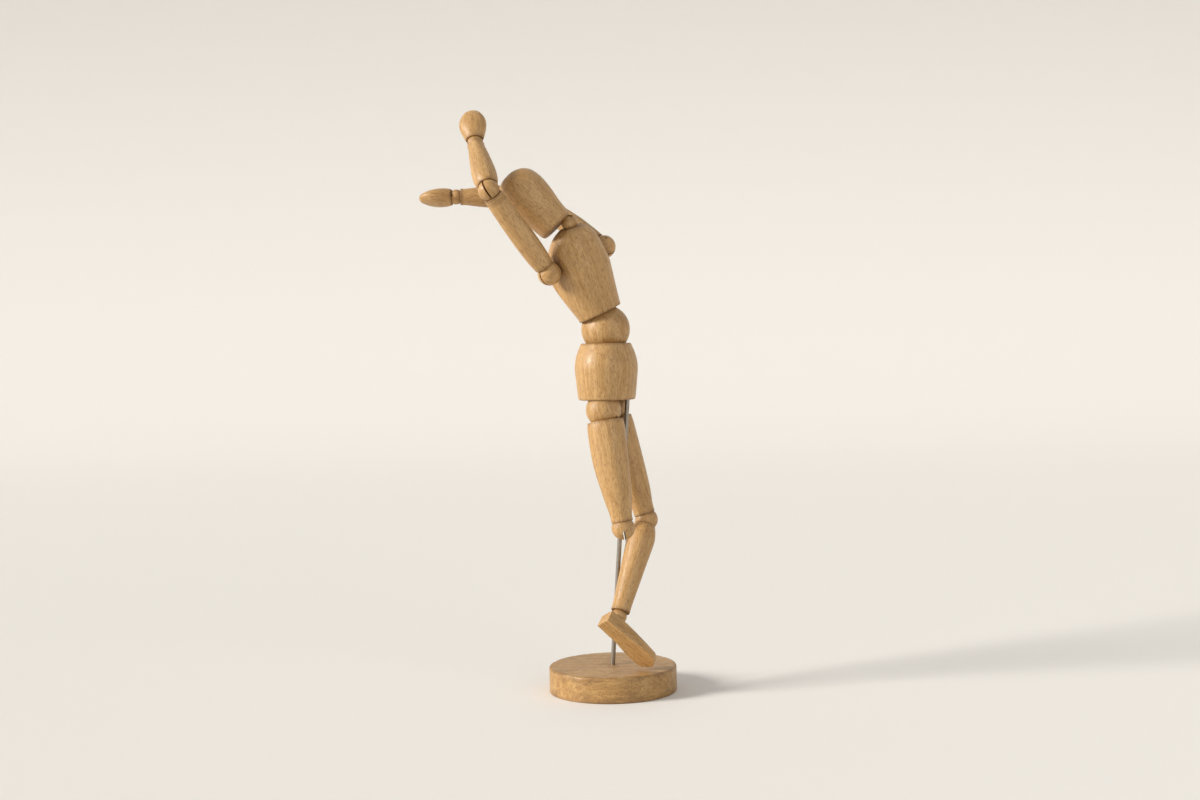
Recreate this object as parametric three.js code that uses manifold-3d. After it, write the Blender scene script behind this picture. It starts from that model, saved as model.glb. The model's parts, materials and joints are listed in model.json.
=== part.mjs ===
// A jointed wooden artist's figure on a round base, in the pose it was last left in.
// Units are millimetres, +Z is up, the origin is the middle of the base's underside.
// Wooden limbs are pulled against slotted wooden balls by springs hooked on steel pins.
import * as THREE from 'three';
import { mergeVertices } from 'three/addons/utils/BufferGeometryUtils.js';
import Module from 'manifold-3d';

const wasm = await Module();
wasm.setup();

// Base and support rod
const baseDiameter = 80;
const baseHeight = 16;
const baseEdgeRound = 1.6;
const rodDiameter = 2.8;
const rodDepthInBase = 12;
const rodDepthInPelvis = 17;
const rodLean = 4.3;

// Pelvis: an oval turned block carried by the rod behind its middle
const pelvisHeight = 35.4;
const pelvisTopDiameter = 30;
const pelvisMiddleDiameter = 39.2;
const pelvisBottomDiameter = 35.6;
const pelvisWidthRatio = 1.22;
const rodBehindPelvis = 13;
const pelvisYaw = 78;
const hipHalfSpacing = 11.3;
const hipDrop = 6;
const pelvisAnchorHeight = 22;
const pelvisAnchorLength = 30;

// Waist, chest, neck and head
const waistBallDiameter = 30.5;
const waistAbovePelvis = 8.7;
const chestBottomAboveWaist = 10.6;
const chestBottomDiameter = 27;
const chestMiddleDiameter = 38;
const chestTopDiameter = 14;
const chestWidthRatio = 1.08;
const chestForward = 5.5;
const chestBackFlat = 13;
const chestBottomTilt = 10.5;
const shoulderAboveWaist = 46.6;
const shoulderForward = 4.5;
const shoulderHalfSpacing = 24;
const shoulderSeatHalfSpacing = 16.9;
const chestAnchorLength = 16;
const neckAboveWaist = 70.5;
const neckBallDiameter = 10;
const neckSeat = 2.8;
const headSeat = 3.6;
const headForward = 6.9;
const headLength = 43.6;
const headDiameter = 29.6;
const headCutDiameter = 21;
const neckSpringDiameter = 3;
const neckSpringInHead = 16;
const neckSpringInChest = 12;

// Arms
const shoulderBallDiameter = 14.6;
const upperArmLength = 64;
const upperArmDiameter = 14.4;
const elbowBallDiameter = 13;
const forearmLength = 47;
const forearmDiameter = 15;
const wristBallDiameter = 9.6;
const wristEndDiameter = 10.6;
const handLength = 24;
const handWidth = 17;
const handThickness = 11.6;
const handHookDepth = 13;
// The hand from its tip to the wrist: share of its length, of its width and of its thickness
const handSections = [
  [1, 0.1, 0.1], [0.97, 0.34, 0.28], [0.9, 0.62, 0.48], [0.72, 0.9, 0.74],
  [0.52, 1, 0.92], [0.32, 0.93, 1], [0.12, 0.77, 0.97], [0, 0.67, 0.88],
];

// Legs
const hipBallDiameter = 22;
const thighLength = 74;
const thighDiameter = 23;
const kneeBallDiameter = 14.4;
const shinLength = 66;
const calfDiameter = 17.6;
const ankleBallDiameter = 9.8;
const ankleEndDiameter = 11.8;
const footToeReach = 34;
const footHeelReach = 8;
const footBallWidth = 15.6;
const footHeelWidth = 10.6;
const footTipOffset = -2.6;
const footTopWidth = 10;
const footEdgeThickness = 3;
const footSideBulge = 0.4;
const footToeRound = 4;
const soleDrop = 12.8;
const footTopDrop = 4.2;
const footToeThickness = 2.6;
const footHookDepth = 9;
const kneeHookLength = 8;
// Where along the foot its heel ends, its waist is and its ball is widest, as shares of its length
const footHeelShare = 0.2;
const footWaistShare = 0.5;
const footBallShare = 0.66;
// The right knee's place under the hips: how far it swings out, and how far up the rod it is
const rightKneeReach = 21.3;
const rightKneeHeight = 96.3;
const rodFreeLength = rightKneeHeight + Math.sqrt(thighLength ** 2 - rightKneeReach ** 2);
const rightHipBend = -THREE.MathUtils.radToDeg(Math.asin(rightKneeReach / thighLength));

// How far each wooden end stands from the centre of the ball that it cups
const hipRim = 6.9;
const shoulderRim = 5.8;
const elbowRim = 4.1;
const wristRim = 2.7;
const kneeRim = 3.9;
const ankleRim = 3.1;

// Hardware shared by every ball
const clearance = 0.3;
const pinDiameter = 1.2;
const pinInset = 0.9;
const eyeDiameter = 3.4;
const eyeThickness = 0.9;
const hookWidth = 1.8;
const springDiameter = 4;
const springBoreDiameter = 6;
const eyeStep = eyeThickness + clearance;
const slotWidth = 2 * eyeStep + clearance;

// How far a limb can swing on its pin, either way from straight
const hingeSwing = 68;
const shoulderSwing = 122;
const waistSwing = 34;
const neckSwing = 42;

// The pose: each ball spins in its parent, the limb bends on the pin, then turns on its own axis
const pose = {
  waist: { spin: 47.6, bend: -21.5, turn: -85.3 },
  neck: { spin: 25.4, bend: -29.3, turn: 30.2 },
  left_shoulder: { spin: 86.6, bend: 72 },
  left_elbow: { spin: -41.9, bend: 66.1 },
  left_wrist: { spin: -44.4, bend: -18.8, turn: 24 },
  right_shoulder: { spin: -40, bend: 95 },
  right_elbow: { spin: 9, bend: 45 },
  right_wrist: { spin: 118, bend: 10.8, turn: 90 },
  left_hip: { spin: -27.6, bend: -10.7 },
  left_knee: { spin: -50, bend: -6 },
  right_hip: { spin: 4.5, bend: rightHipBend },
  right_knee: { spin: -134.9, bend: -41.2 },
  right_ankle: { spin: 37.6, bend: -24, turn: -41.6 },
};

// Facets round a turned piece, a ball and a small steel piece
const turnedSides = 16;
const ballSides = 12;
const ballRows = 8;
const steelSides = 8;
const boreSides = 12;
const ballCupGrow = 1 / Math.cos(Math.PI / ballSides);

const wood = new THREE.MeshStandardMaterial({ color: 0xc79a62, roughness: 0.5, metalness: 0 });
const darkWood = new THREE.MeshStandardMaterial({ color: 0xb98a50, roughness: 0.65, metalness: 0 });
const steel = new THREE.MeshStandardMaterial({ color: 0xb4b4b0, roughness: 0.3, metalness: 1 });

const rad = THREE.MathUtils.degToRad;

// A closed three.js geometry as a solid, with its shared corners merged and its faces turned out
function solid(geometry) {
  const bare = geometry.clone();
  bare.deleteAttribute('normal');
  bare.deleteAttribute('uv');
  const merged = mergeVertices(bare, 1e-4);
  const places = merged.attributes.position.array;
  const corner = (i) => new THREE.Vector3().fromArray(places, 3 * i);
  const triangles = [];
  let volume = 0;
  for (let i = 0; i < merged.index.count; i += 3) {
    const [a, b, c] = [0, 1, 2].map((k) => merged.index.getX(i + k));
    if (a === b || b === c || a === c) continue;
    triangles.push([a, b, c]);
    volume += corner(a).dot(corner(b).cross(corner(c)));
  }
  const outward = volume > 0 ? triangles : triangles.map(([a, b, c]) => [a, c, b]);
  return new wasm.Manifold(new wasm.Mesh({
    numProp: 3,
    vertProperties: new Float32Array(places),
    triVerts: new Uint32Array(outward.flat()),
  }));
}

function geometryOf(body) {
  const mesh = body.getMesh();
  const geometry = new THREE.BufferGeometry();
  geometry.setAttribute('position', new THREE.BufferAttribute(mesh.vertProperties, 3));
  geometry.setIndex(new THREE.BufferAttribute(mesh.triVerts, 1));
  geometry.computeVertexNormals();
  return geometry;
}

function addPiece(group, name, body, material) {
  const mesh = new THREE.Mesh(geometryOf(body), material);
  mesh.name = name;
  group.add(mesh);
}

// A piece turned about Z, from [radius, height] points in rising order, ending on the axis
function turned(points, sides = turnedSides) {
  const first = [0, points[0][1]];
  const last = [0, points.at(-1)[1]];
  const outline = [first, ...points, last].map(([r, z]) => new THREE.Vector2(r, z));
  return new THREE.LatheGeometry(outline, sides).rotateX(Math.PI / 2);
}

function ball(radius) {
  return solid(new THREE.SphereGeometry(radius, ballSides, ballRows).rotateX(Math.PI / 2));
}

// A rod along Z between two heights
function bar(radius, low, high, sides = steelSides) {
  const height = high - low;
  const shape = new THREE.CylinderGeometry(radius, radius, height, sides);
  return shape.rotateX(Math.PI / 2).translate(0, 0, (low + high) / 2);
}

// A rod along X, centred
function crossBar(radius, length, sides = steelSides) {
  return new THREE.CylinderGeometry(radius, radius, length, sides).rotateZ(Math.PI / 2);
}

function block(x, y, z, centre) {
  return solid(new THREE.BoxGeometry(x, y, z).translate(...centre));
}

// The bore that a spring runs in, along Z between two heights
function springBore(low, high) {
  return solid(bar(springBoreDiameter / 2, low, high, boreSides));
}

// A hollow sphere's space, cut so that a faceted ball can turn in it
function cup(radius, z) {
  return ball((radius + clearance) * ballCupGrow).translate(0, 0, z);
}

// The space that a hook sweeps as it swings about X between two angles from -Z
function fanSlot(radius, low, high, width, room) {
  const reach = radius + 2;
  const fan = new THREE.Shape().moveTo(0, 0);
  fan.lineTo(reach * Math.cos(rad(low)), reach * Math.sin(rad(low)));
  fan.absarc(0, 0, reach, rad(low), rad(high), false);
  fan.closePath();
  const steps = { depth: width, bevelEnabled: false, curveSegments: 6 };
  const slab = new THREE.ExtrudeGeometry(fan, steps).translate(0, 0, -width / 2);
  // The fan is drawn about +X, and its middle has to point along -Z
  slab.applyMatrix4(new THREE.Matrix4().makeBasis(
    new THREE.Vector3(0, 0, -1), new THREE.Vector3(0, 1, 0), new THREE.Vector3(-1, 0, 0)));
  const edge = (angle) => block(width, room, reach, [0, 0, -reach / 2]).rotate([angle, 0, 0]);
  return solid(slab).add(edge(low)).add(edge(high));
}

// A ball with a pin hole, a slot for its parent's hook and a fan-shaped slot for its limb's hook
function slottedBall(radius, low, high) {
  const eyeRoom = eyeDiameter / 2 + clearance;
  const hookRoom = hookWidth + 2 * clearance;
  return ball(radius)
    .subtract(solid(crossBar(eyeRoom, slotWidth)))
    .subtract(block(slotWidth, hookRoom, radius + 2, [0, 0, radius / 2 + 1]))
    .subtract(fanSlot(radius, low, high, slotWidth, hookRoom))
    .subtract(solid(crossBar(pinDiameter / 2 + clearance, 3 * radius)));
}

function pinFor(radius) {
  return solid(crossBar(pinDiameter / 2, 2 * (radius - pinInset)));
}

// An eye round a pin at height z, with the flat hook that runs from it to height end.
// The pin points along X turned by angle, and the eye sits off its middle.
function eyeHook(z, end, angle, offset) {
  const eye = new THREE.CylinderGeometry(eyeDiameter / 2, eyeDiameter / 2, eyeThickness, steelSides);
  const low = Math.min(z, end);
  const high = Math.max(z, end);
  return solid(eye.rotateZ(Math.PI / 2))
    .translate(0, 0, z)
    .add(block(eyeThickness, hookWidth, high - low, [0, 0, (low + high) / 2]))
    .subtract(solid(crossBar(pinDiameter / 2 + clearance, 2 * eyeThickness)).translate(0, 0, z))
    .translate(offset, 0, 0)
    .rotate([0, 0, angle]);
}

// A tension spring along -Z between two pins, with the hook at each end
function spring(length, nearGap, farGap, near, far) {
  const overlap = 1;
  return solid(bar(springDiameter / 2, -(length - farGap), -nearGap))
    .add(eyeHook(0, -(nearGap + overlap), near.angle, near.offset))
    .add(eyeHook(-length, -(length - farGap - overlap), far.angle, far.offset));
}

// A hook set in a wooden piece, with one eye on a pin
function setHook(nearGap, depth) {
  return solid(bar(springDiameter / 2, -depth, -nearGap)).add(eyeHook(0, -(nearGap + 1), 0, eyeStep / 2));
}

// A wooden limb along -Z: turned, bored through for its spring and cupped at both ends
function limb(points, length, nearBall, farBall) {
  const outline = points.map(([r, z]) => [r, z]).reverse();
  return solid(turned(outline))
    .subtract(springBore(-length, 0))
    .subtract(cup(nearBall / 2, 0))
    .subtract(cup(farBall / 2, -length));
}

// Adds a ball joint: the ball spins about its parent's axis, and the limb bends on the ball's pin
function ballJoint(parent, name, place, diameter, swing) {
  const ballGroup = new THREE.Group();
  ballGroup.name = `${name}_spin`;
  ballGroup.position.set(...place);
  ballGroup.rotation.z = rad(pose[name].spin);
  parent.add(ballGroup);
  addPiece(ballGroup, `${name}_ball`, slottedBall(diameter / 2, -swing, swing), wood);
  addPiece(ballGroup, `${name}_pin`, pinFor(diameter / 2), steel);
  const limbGroup = new THREE.Group();
  limbGroup.name = `${name}_bend`;
  limbGroup.rotation.x = rad(pose[name].bend);
  ballGroup.add(limbGroup);
  return limbGroup;
}

// The left side is -X and the right side +X in the figure's own frames
const sides = [-1, 1];
const sideName = (side) => (side < 0 ? 'left' : 'right');

const figure = new THREE.Group();

// Base and rod
const baseRadius = baseDiameter / 2;
const baseBody = solid(turned([
  [baseRadius - baseEdgeRound / 2, 0],
  [baseRadius, baseEdgeRound / 2],
  [baseRadius, baseHeight - baseEdgeRound],
  [baseRadius - baseEdgeRound * 0.3, baseHeight - baseEdgeRound * 0.3],
  [baseRadius - baseEdgeRound, baseHeight],
], 40));
const rodGroup = new THREE.Group();
rodGroup.position.z = baseHeight;
rodGroup.rotation.y = rad(rodLean);
figure.add(rodGroup);
const rodHole = solid(bar(rodDiameter / 2 + clearance, -rodDepthInBase - clearance, rodDepthInBase, 12))
  .rotate([0, rodLean, 0])
  .translate(0, 0, baseHeight);
addPiece(figure, 'base', baseBody.subtract(rodHole), darkWood);
const rodTop = rodFreeLength + rodDepthInPelvis;
addPiece(rodGroup, 'support_rod', solid(bar(rodDiameter / 2, -rodDepthInBase, rodTop, 12)), steel);

// Pelvis: its own axis stands upright, although the rod in it leans
const pelvisTurn = new THREE.Group();
pelvisTurn.name = 'pelvis_swivel';
pelvisTurn.position.z = rodFreeLength;
rodGroup.add(pelvisTurn);
const upright = new THREE.Group();
upright.rotation.y = -rad(rodLean);
pelvisTurn.add(upright);
const pelvis = new THREE.Group();
pelvis.rotation.z = rad(pelvisYaw);
upright.add(pelvis);
const pelvisFrame = new THREE.Group();
pelvisFrame.position.y = rodBehindPelvis;
pelvis.add(pelvisFrame);

const hipRadius = hipBallDiameter / 2;
const waistRadius = waistBallDiameter / 2;
const waistHeight = pelvisHeight + waistAbovePelvis;
let pelvisBody = solid(turned([
  [pelvisBottomDiameter / 2 - 1, 0],
  [pelvisBottomDiameter / 2, 1],
  [pelvisMiddleDiameter / 2 - 0.5, pelvisHeight * 0.38],
  [pelvisMiddleDiameter / 2, pelvisHeight * 0.58],
  [pelvisMiddleDiameter / 2 - 1.1, pelvisHeight * 0.78],
  [pelvisTopDiameter / 2 + 1, pelvisHeight - 1.2],
  [pelvisTopDiameter / 2, pelvisHeight],
])).scale([pelvisWidthRatio, 1, 1])
  .subtract(cup(waistRadius, waistHeight))
  .subtract(springBore(pelvisAnchorHeight - eyeDiameter, pelvisHeight))
  .subtract(solid(crossBar(pinDiameter / 2 + clearance, pelvisAnchorLength + 2 * clearance))
    .translate(0, 0, pelvisAnchorHeight));
for (const side of sides) {
  pelvisBody = pelvisBody
    .subtract(cup(hipRadius, -hipDrop).translate(side * hipHalfSpacing, 0, 0))
    .subtract(springBore(-1, pelvisAnchorHeight + eyeDiameter).translate(side * hipHalfSpacing, 0, 0));
}
// The rod's hole follows the rod's lean, which the pelvis's yaw turns away from its own axes
const rodInPelvis = solid(bar(rodDiameter / 2 + clearance, -rodDepthInBase, rodDepthInPelvis + clearance, 12))
  .rotate([0, rodLean, 0])
  .rotate([0, 0, -pelvisYaw])
  .translate(0, -rodBehindPelvis, 0);
addPiece(pelvisFrame, 'pelvis', pelvisBody.subtract(rodInPelvis), wood);
addPiece(pelvisFrame, 'pelvis_anchor_pin',
  solid(crossBar(pinDiameter / 2, pelvisAnchorLength)).translate(0, 0, pelvisAnchorHeight), steel);
const ballHookGap = (diameter) => diameter / 2 + 1;
const anchorGap = eyeDiameter / 2 + clearance;
const chestAnchorGap = springDiameter / 2 + eyeDiameter / 2 + clearance;
const nearEye = { angle: 0, offset: eyeStep / 2 };
const farEye = (joint) => ({ angle: pose[joint].spin, offset: -eyeStep / 2 });

// A spring from an anchor pin inside a block to a ball's pin, along -Z of the given group
function anchorSpring(length, ballDiameter, joint, anchorAngle, anchorOffset) {
  return spring(length, anchorGap, ballHookGap(ballDiameter),
    { angle: anchorAngle, offset: anchorOffset }, farEye(joint));
}

for (const side of sides) {
  const name = sideName(side);
  const hipSpring = anchorSpring(pelvisAnchorHeight + hipDrop, hipBallDiameter, `${name}_hip`, 0, 0);
  addPiece(pelvisFrame, `${name}_hip_spring`,
    hipSpring.translate(side * hipHalfSpacing, 0, pelvisAnchorHeight), steel);
}
// The waist's lower spring runs upwards, so it is drawn hanging and turned over about X
const waistFlip = { angle: -pose.waist.spin, offset: -eyeStep / 2 };
addPiece(pelvisFrame, 'waist_lower_spring',
  spring(waistHeight - pelvisAnchorHeight, anchorGap, ballHookGap(waistBallDiameter),
    { angle: 0, offset: 0 }, waistFlip).rotate([180, 0, 0]).translate(0, 0, pelvisAnchorHeight), steel);

// Waist ball and chest: here the limb runs up from the ball, so the ball is turned over
const waistGroup = new THREE.Group();
waistGroup.name = 'waist_spin';
waistGroup.position.z = waistHeight;
waistGroup.rotation.z = rad(pose.waist.spin);
pelvisFrame.add(waistGroup);
addPiece(waistGroup, 'waist_ball',
  slottedBall(waistRadius, -waistSwing, waistSwing).rotate([180, 0, 0]), wood);
addPiece(waistGroup, 'waist_pin', pinFor(waistRadius), steel);
const waistSwung = new THREE.Group();
waistSwung.name = 'waist_bend';
waistSwung.rotation.x = rad(pose.waist.bend);
waistGroup.add(waistSwung);
const chest = new THREE.Group();
chest.rotation.z = rad(pose.waist.turn);
waistSwung.add(chest);

const chestTop = neckAboveWaist - neckSeat;
const neckBoreRadius = neckSpringDiameter / 2 + 2 * clearance;
const anchorMiddle = shoulderForward / 2;
// The chest's underside is cut at a slant, lower at the front than at the back
const chestFrontDrop = chestBottomDiameter / 2 * Math.tan(rad(chestBottomTilt));
const chestHeight = chestTop - chestBottomAboveWaist;
const chestAt = (share) => chestBottomAboveWaist + share * chestHeight;
const shoulderRadius = shoulderBallDiameter / 2;
const neckRadius = neckBallDiameter / 2;
let chestBody = solid(turned([
  [chestBottomDiameter / 2, chestAt(0) - chestFrontDrop],
  [chestBottomDiameter / 2, chestAt(0) + 1],
  [chestBottomDiameter / 2 + 2.2, chestAt(0.2)],
  [chestMiddleDiameter / 2 - 1, chestAt(0.4)],
  [chestMiddleDiameter / 2, chestAt(0.56)],
  [chestMiddleDiameter / 2 - 1.6, chestAt(0.7)],
  [chestMiddleDiameter / 2 - 4.5, chestAt(0.84)],
  [chestTopDiameter / 2 + 4, chestAt(0.94)],
  [chestTopDiameter / 2, chestAt(1)],
])).scale([chestWidthRatio, 1, 1]);
// The middle bulges forward: points lean forward with height, as far as the shoulders
chestBody = chestBody.warp((v) => {
  const rise = (v[2] - chestBottomAboveWaist) / (shoulderAboveWaist - chestBottomAboveWaist);
  const share = THREE.MathUtils.clamp(rise, 0, 1);
  const fade = v[2] > shoulderAboveWaist ? (chestTop - v[2]) / (chestTop - shoulderAboveWaist) : 1;
  v[1] += chestForward * Math.sin(share * Math.PI / 2) * Math.max(0, fade);
});
const cutSize = 4 * chestMiddleDiameter;
const backCut = block(cutSize, cutSize, cutSize, [0, -cutSize / 2 - chestBackFlat, chestAt(0.5)]);
const undersideCut = block(cutSize, cutSize, cutSize, [0, 0, -cutSize / 2])
  .rotate([-chestBottomTilt, 0, 0])
  .translate(0, 0, chestBottomAboveWaist);
chestBody = chestBody.subtract(backCut).subtract(undersideCut);
for (const side of sides) {
  const sideCut = block(cutSize, cutSize, cutSize,
    [side * (cutSize / 2 + shoulderSeatHalfSpacing), 0, shoulderAboveWaist]);
  chestBody = chestBody
    .subtract(sideCut)
    .subtract(cup(shoulderRadius, shoulderAboveWaist)
      .translate(side * shoulderHalfSpacing, shoulderForward, 0));
}
chestBody = chestBody
  .subtract(cup(waistRadius, 0))
  .subtract(cup(neckRadius, neckAboveWaist))
  .subtract(springBore(0, shoulderAboveWaist + eyeDiameter))
  .subtract(solid(bar(neckBoreRadius, chestTop - neckSpringInChest, neckAboveWaist, boreSides)))
  .subtract(springBore(-shoulderHalfSpacing, shoulderHalfSpacing).rotate([0, 90, 0])
    .translate(0, shoulderForward, shoulderAboveWaist))
  .subtract(solid(crossBar(pinDiameter / 2 + clearance, chestAnchorLength + 2 * clearance))
    .rotate([0, 0, 90]).translate(0, anchorMiddle, shoulderAboveWaist));
addPiece(chest, 'chest', chestBody, wood);
addPiece(chest, 'chest_anchor_pin', solid(crossBar(pinDiameter / 2, chestAnchorLength))
  .rotate([0, 0, 90]).translate(0, anchorMiddle, shoulderAboveWaist), steel);
// Three springs share the chest's anchor pin, which runs from front to back: their eyes sit side by side
addPiece(waistSwung, 'waist_upper_spring',
  spring(shoulderAboveWaist, ballHookGap(waistBallDiameter), chestAnchorGap,
    nearEye, { angle: -pose.waist.turn - 90, offset: 0 }).rotate([180, 0, 0]), steel);

// Neck: a slotted bead on a spring that stands in the chest's top and runs up into the head
const neckGroup = new THREE.Group();
neckGroup.name = 'neck_spin';
neckGroup.position.z = neckAboveWaist;
neckGroup.rotation.z = rad(pose.neck.spin);
chest.add(neckGroup);
const neckSwung = new THREE.Group();
neckSwung.name = 'neck_bend';
neckSwung.rotation.x = rad(pose.neck.bend);
neckGroup.add(neckSwung);
const head = new THREE.Group();
head.rotation.z = rad(pose.neck.turn);
neckSwung.add(head);
const neckSlot = 2 * neckBoreRadius;
addPiece(neckGroup, 'neck_ball', ball(neckRadius)
  .subtract(block(neckSlot, neckSlot, 2 * neckRadius, [0, 0, -neckRadius]))
  .subtract(fanSlot(neckRadius, -neckSwing, neckSwing, neckSlot, neckSlot).rotate([180, 0, 0])), wood);
const neckSpringBottom = clearance - neckSeat - neckSpringInChest;
addPiece(neckGroup, 'neck_spring', solid(bar(neckSpringDiameter / 2, neckSpringBottom, 0))
  .add(solid(new THREE.SphereGeometry(neckSpringDiameter / 2, steelSides, steelSides)))
  .add(solid(bar(neckSpringDiameter / 2, 0, neckSpringInHead)).rotate([pose.neck.bend, 0, 0])), steel);
const headAt = (share) => headSeat + share * headLength;
const headRadius = headDiameter / 2;
const headCutRadius = headCutDiameter / 2;
addPiece(head, 'head', solid(turned([
  [headCutRadius, headAt(0)],
  [headCutRadius + 1.1, headAt(0.07)],
  [headRadius * 0.84, headAt(0.25)],
  [headRadius * 0.95, headAt(0.45)],
  [headRadius, headAt(0.66)],
  [headRadius * 0.92, headAt(0.82)],
  [headRadius * 0.72, headAt(0.92)],
  [headRadius * 0.42, headAt(0.98)],
  [headRadius * 0.15, headAt(1)],
])).translate(0, headForward, 0)
  .subtract(cup(neckRadius, 0))
  .subtract(solid(bar(neckBoreRadius, 0, neckSpringInHead + clearance, boreSides))), wood);

// Arms: each shoulder's axis points out of the chest's side
for (const side of sides) {
  const name = sideName(side);
  const shoulderFrame = new THREE.Group();
  shoulderFrame.position.set(0, shoulderForward, shoulderAboveWaist);
  shoulderFrame.rotation.y = -side * Math.PI / 2;
  chest.add(shoulderFrame);
  addPiece(shoulderFrame, `${name}_shoulder_spring`, spring(shoulderHalfSpacing, chestAnchorGap,
    ballHookGap(shoulderBallDiameter), { angle: 90, offset: side * eyeStep / 2 },
    farEye(`${name}_shoulder`)), steel);

  const shoulder = ballJoint(shoulderFrame, `${name}_shoulder`, [0, 0, -shoulderHalfSpacing],
    shoulderBallDiameter, shoulderSwing);
  const armRadius = upperArmDiameter / 2;
  const elbowEnd = elbowBallDiameter / 2 - 0.4;
  addPiece(shoulder, `${name}_upper_arm`, limb([
    [armRadius - 1.2, -shoulderRim],
    [armRadius - 0.4, -upperArmLength * 0.2],
    [armRadius, -upperArmLength * 0.42],
    [(armRadius + elbowEnd) / 2, -upperArmLength * 0.74],
    [elbowEnd, elbowRim - upperArmLength],
  ], upperArmLength, shoulderBallDiameter, elbowBallDiameter), wood);
  addPiece(shoulder, `${name}_upper_arm_spring`, spring(upperArmLength, ballHookGap(shoulderBallDiameter),
    ballHookGap(elbowBallDiameter), nearEye, farEye(`${name}_elbow`)), steel);

  const elbow = ballJoint(shoulder, `${name}_elbow`, [0, 0, -upperArmLength], elbowBallDiameter, hingeSwing);
  const forearmRadius = forearmDiameter / 2;
  addPiece(elbow, `${name}_forearm`, limb([
    [elbowEnd, -elbowRim],
    [forearmRadius - 0.3, -forearmLength * 0.2],
    [forearmRadius, -forearmLength * 0.36],
    [(forearmRadius + wristEndDiameter / 2) / 2, -forearmLength * 0.66],
    [wristEndDiameter / 2, -forearmLength * 0.86],
    [wristEndDiameter / 2, wristRim - forearmLength],
  ], forearmLength, elbowBallDiameter, wristBallDiameter), wood);
  addPiece(elbow, `${name}_forearm_spring`, spring(forearmLength, ballHookGap(elbowBallDiameter),
    ballHookGap(wristBallDiameter), nearEye, farEye(`${name}_wrist`)), steel);

  const wrist = ballJoint(elbow, `${name}_wrist`, [0, 0, -forearmLength], wristBallDiameter, hingeSwing);
  const handAt = (share) => -wristRim - share * (handLength - wristRim);
  const handRadius = handWidth / 2;
  const hand = new THREE.Group();
  hand.rotation.z = rad(pose[`${name}_wrist`].turn);
  wrist.add(hand);
  // Turned to the hand's width, then flattened to its thickness, which is greatest near the wrist
  const handBody = solid(turned(handSections.map(([share, width]) => [handRadius * width, handAt(share)])));
  addPiece(hand, `${name}_hand`, handBody
    .warp((v) => {
      const share = (handAt(0) - v[2]) / (handAt(0) - handAt(1));
      const [, width, thickness] = handSections.reduce((best, section) => (
        Math.abs(section[0] - share) < Math.abs(best[0] - share) ? section : best));
      v[1] *= (thickness * handThickness) / (width * handWidth);
    })
    .subtract(cup(wristBallDiameter / 2, 0))
    .subtract(springBore(-handHookDepth - clearance, 0)), wood);
  addPiece(wrist, `${name}_hand_hook`, setHook(ballHookGap(wristBallDiameter), handHookDepth), steel);
}

// Legs: both have a hip, a thigh and a knee ball
const kneeEnd = kneeBallDiameter / 2 - 0.5;
const thighRadius = thighDiameter / 2;
const knees = {};
for (const side of sides) {
  const name = sideName(side);
  const hip = ballJoint(pelvisFrame, `${name}_hip`, [side * hipHalfSpacing, 0, -hipDrop],
    hipBallDiameter, hingeSwing);
  addPiece(hip, `${name}_thigh`, limb([
    [thighRadius - 0.4, -hipRim],
    [thighRadius, -thighLength * 0.16],
    [thighRadius - 0.6, -thighLength * 0.32],
    [thighRadius - 1.5, -thighLength * 0.52],
    [(thighRadius + kneeEnd) / 2 - 0.4, -thighLength * 0.74],
    [kneeEnd + 0.2, -thighLength * 0.88],
    [kneeEnd, kneeRim - thighLength],
  ], thighLength, hipBallDiameter, kneeBallDiameter), wood);
  addPiece(hip, `${name}_thigh_spring`, spring(thighLength, ballHookGap(hipBallDiameter),
    ballHookGap(kneeBallDiameter), nearEye, farEye(`${name}_knee`)), steel);
  knees[name] = ballJoint(hip, `${name}_knee`, [0, 0, -thighLength], kneeBallDiameter, hingeSwing);
}

// The left knee carries no shin: only the wire link that would hook its spring hangs from the pin
addPiece(knees.left, 'left_knee_hook', eyeHook(0, -0.6 * kneeHookLength, 0, eyeStep / 2)
  .add(eyeHook(-kneeHookLength, -0.4 * kneeHookLength, 0, eyeStep / 2)), steel);

// Right shin and foot
const calfRadius = calfDiameter / 2;
const ankleEnd = ankleEndDiameter / 2;
addPiece(knees.right, 'right_shin', limb([
  [kneeEnd, -kneeRim],
  [calfRadius - 0.5, -shinLength * 0.14],
  [calfRadius, -shinLength * 0.23],
  [calfRadius - 0.9, -shinLength * 0.42],
  [(calfRadius + ankleEnd) / 2 - 0.4, -shinLength * 0.64],
  [ankleEnd + 0.1, -shinLength * 0.86],
  [ankleEnd, ankleRim - shinLength],
], shinLength, kneeBallDiameter, ankleBallDiameter), wood);
addPiece(knees.right, 'right_shin_spring', spring(shinLength, ballHookGap(kneeBallDiameter),
  ballHookGap(ankleBallDiameter), nearEye, farEye('right_ankle')), steel);
const ankle = ballJoint(knees.right, 'right_ankle', [0, 0, -shinLength], ankleBallDiameter, hingeSwing);
const foot = new THREE.Group();
foot.rotation.z = rad(pose.right_ankle.turn);
ankle.add(foot);
const footLength = footToeReach + footHeelReach;
const heelHalf = footHeelWidth / 2;
const ballHalf = footBallWidth / 2;
const heelEnd = footLength * footHeelShare;
const waistAt = footLength * footWaistShare;
const ballAt = footLength * footBallShare;
const footShape = new THREE.Shape().moveTo(-heelHalf, -footHeelReach);
footShape.lineTo(heelHalf, -footHeelReach);
footShape.lineTo(heelHalf + footSideBulge, heelEnd);
footShape.quadraticCurveTo(ballHalf + footSideBulge, waistAt, ballHalf - footSideBulge, ballAt);
footShape.quadraticCurveTo(
  ballHalf - footToeRound / 2, footToeReach - footToeRound, footTipOffset, footToeReach);
footShape.quadraticCurveTo(-ballHalf, footToeReach - footToeRound / 4, footSideBulge - ballHalf, ballAt);
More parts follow.
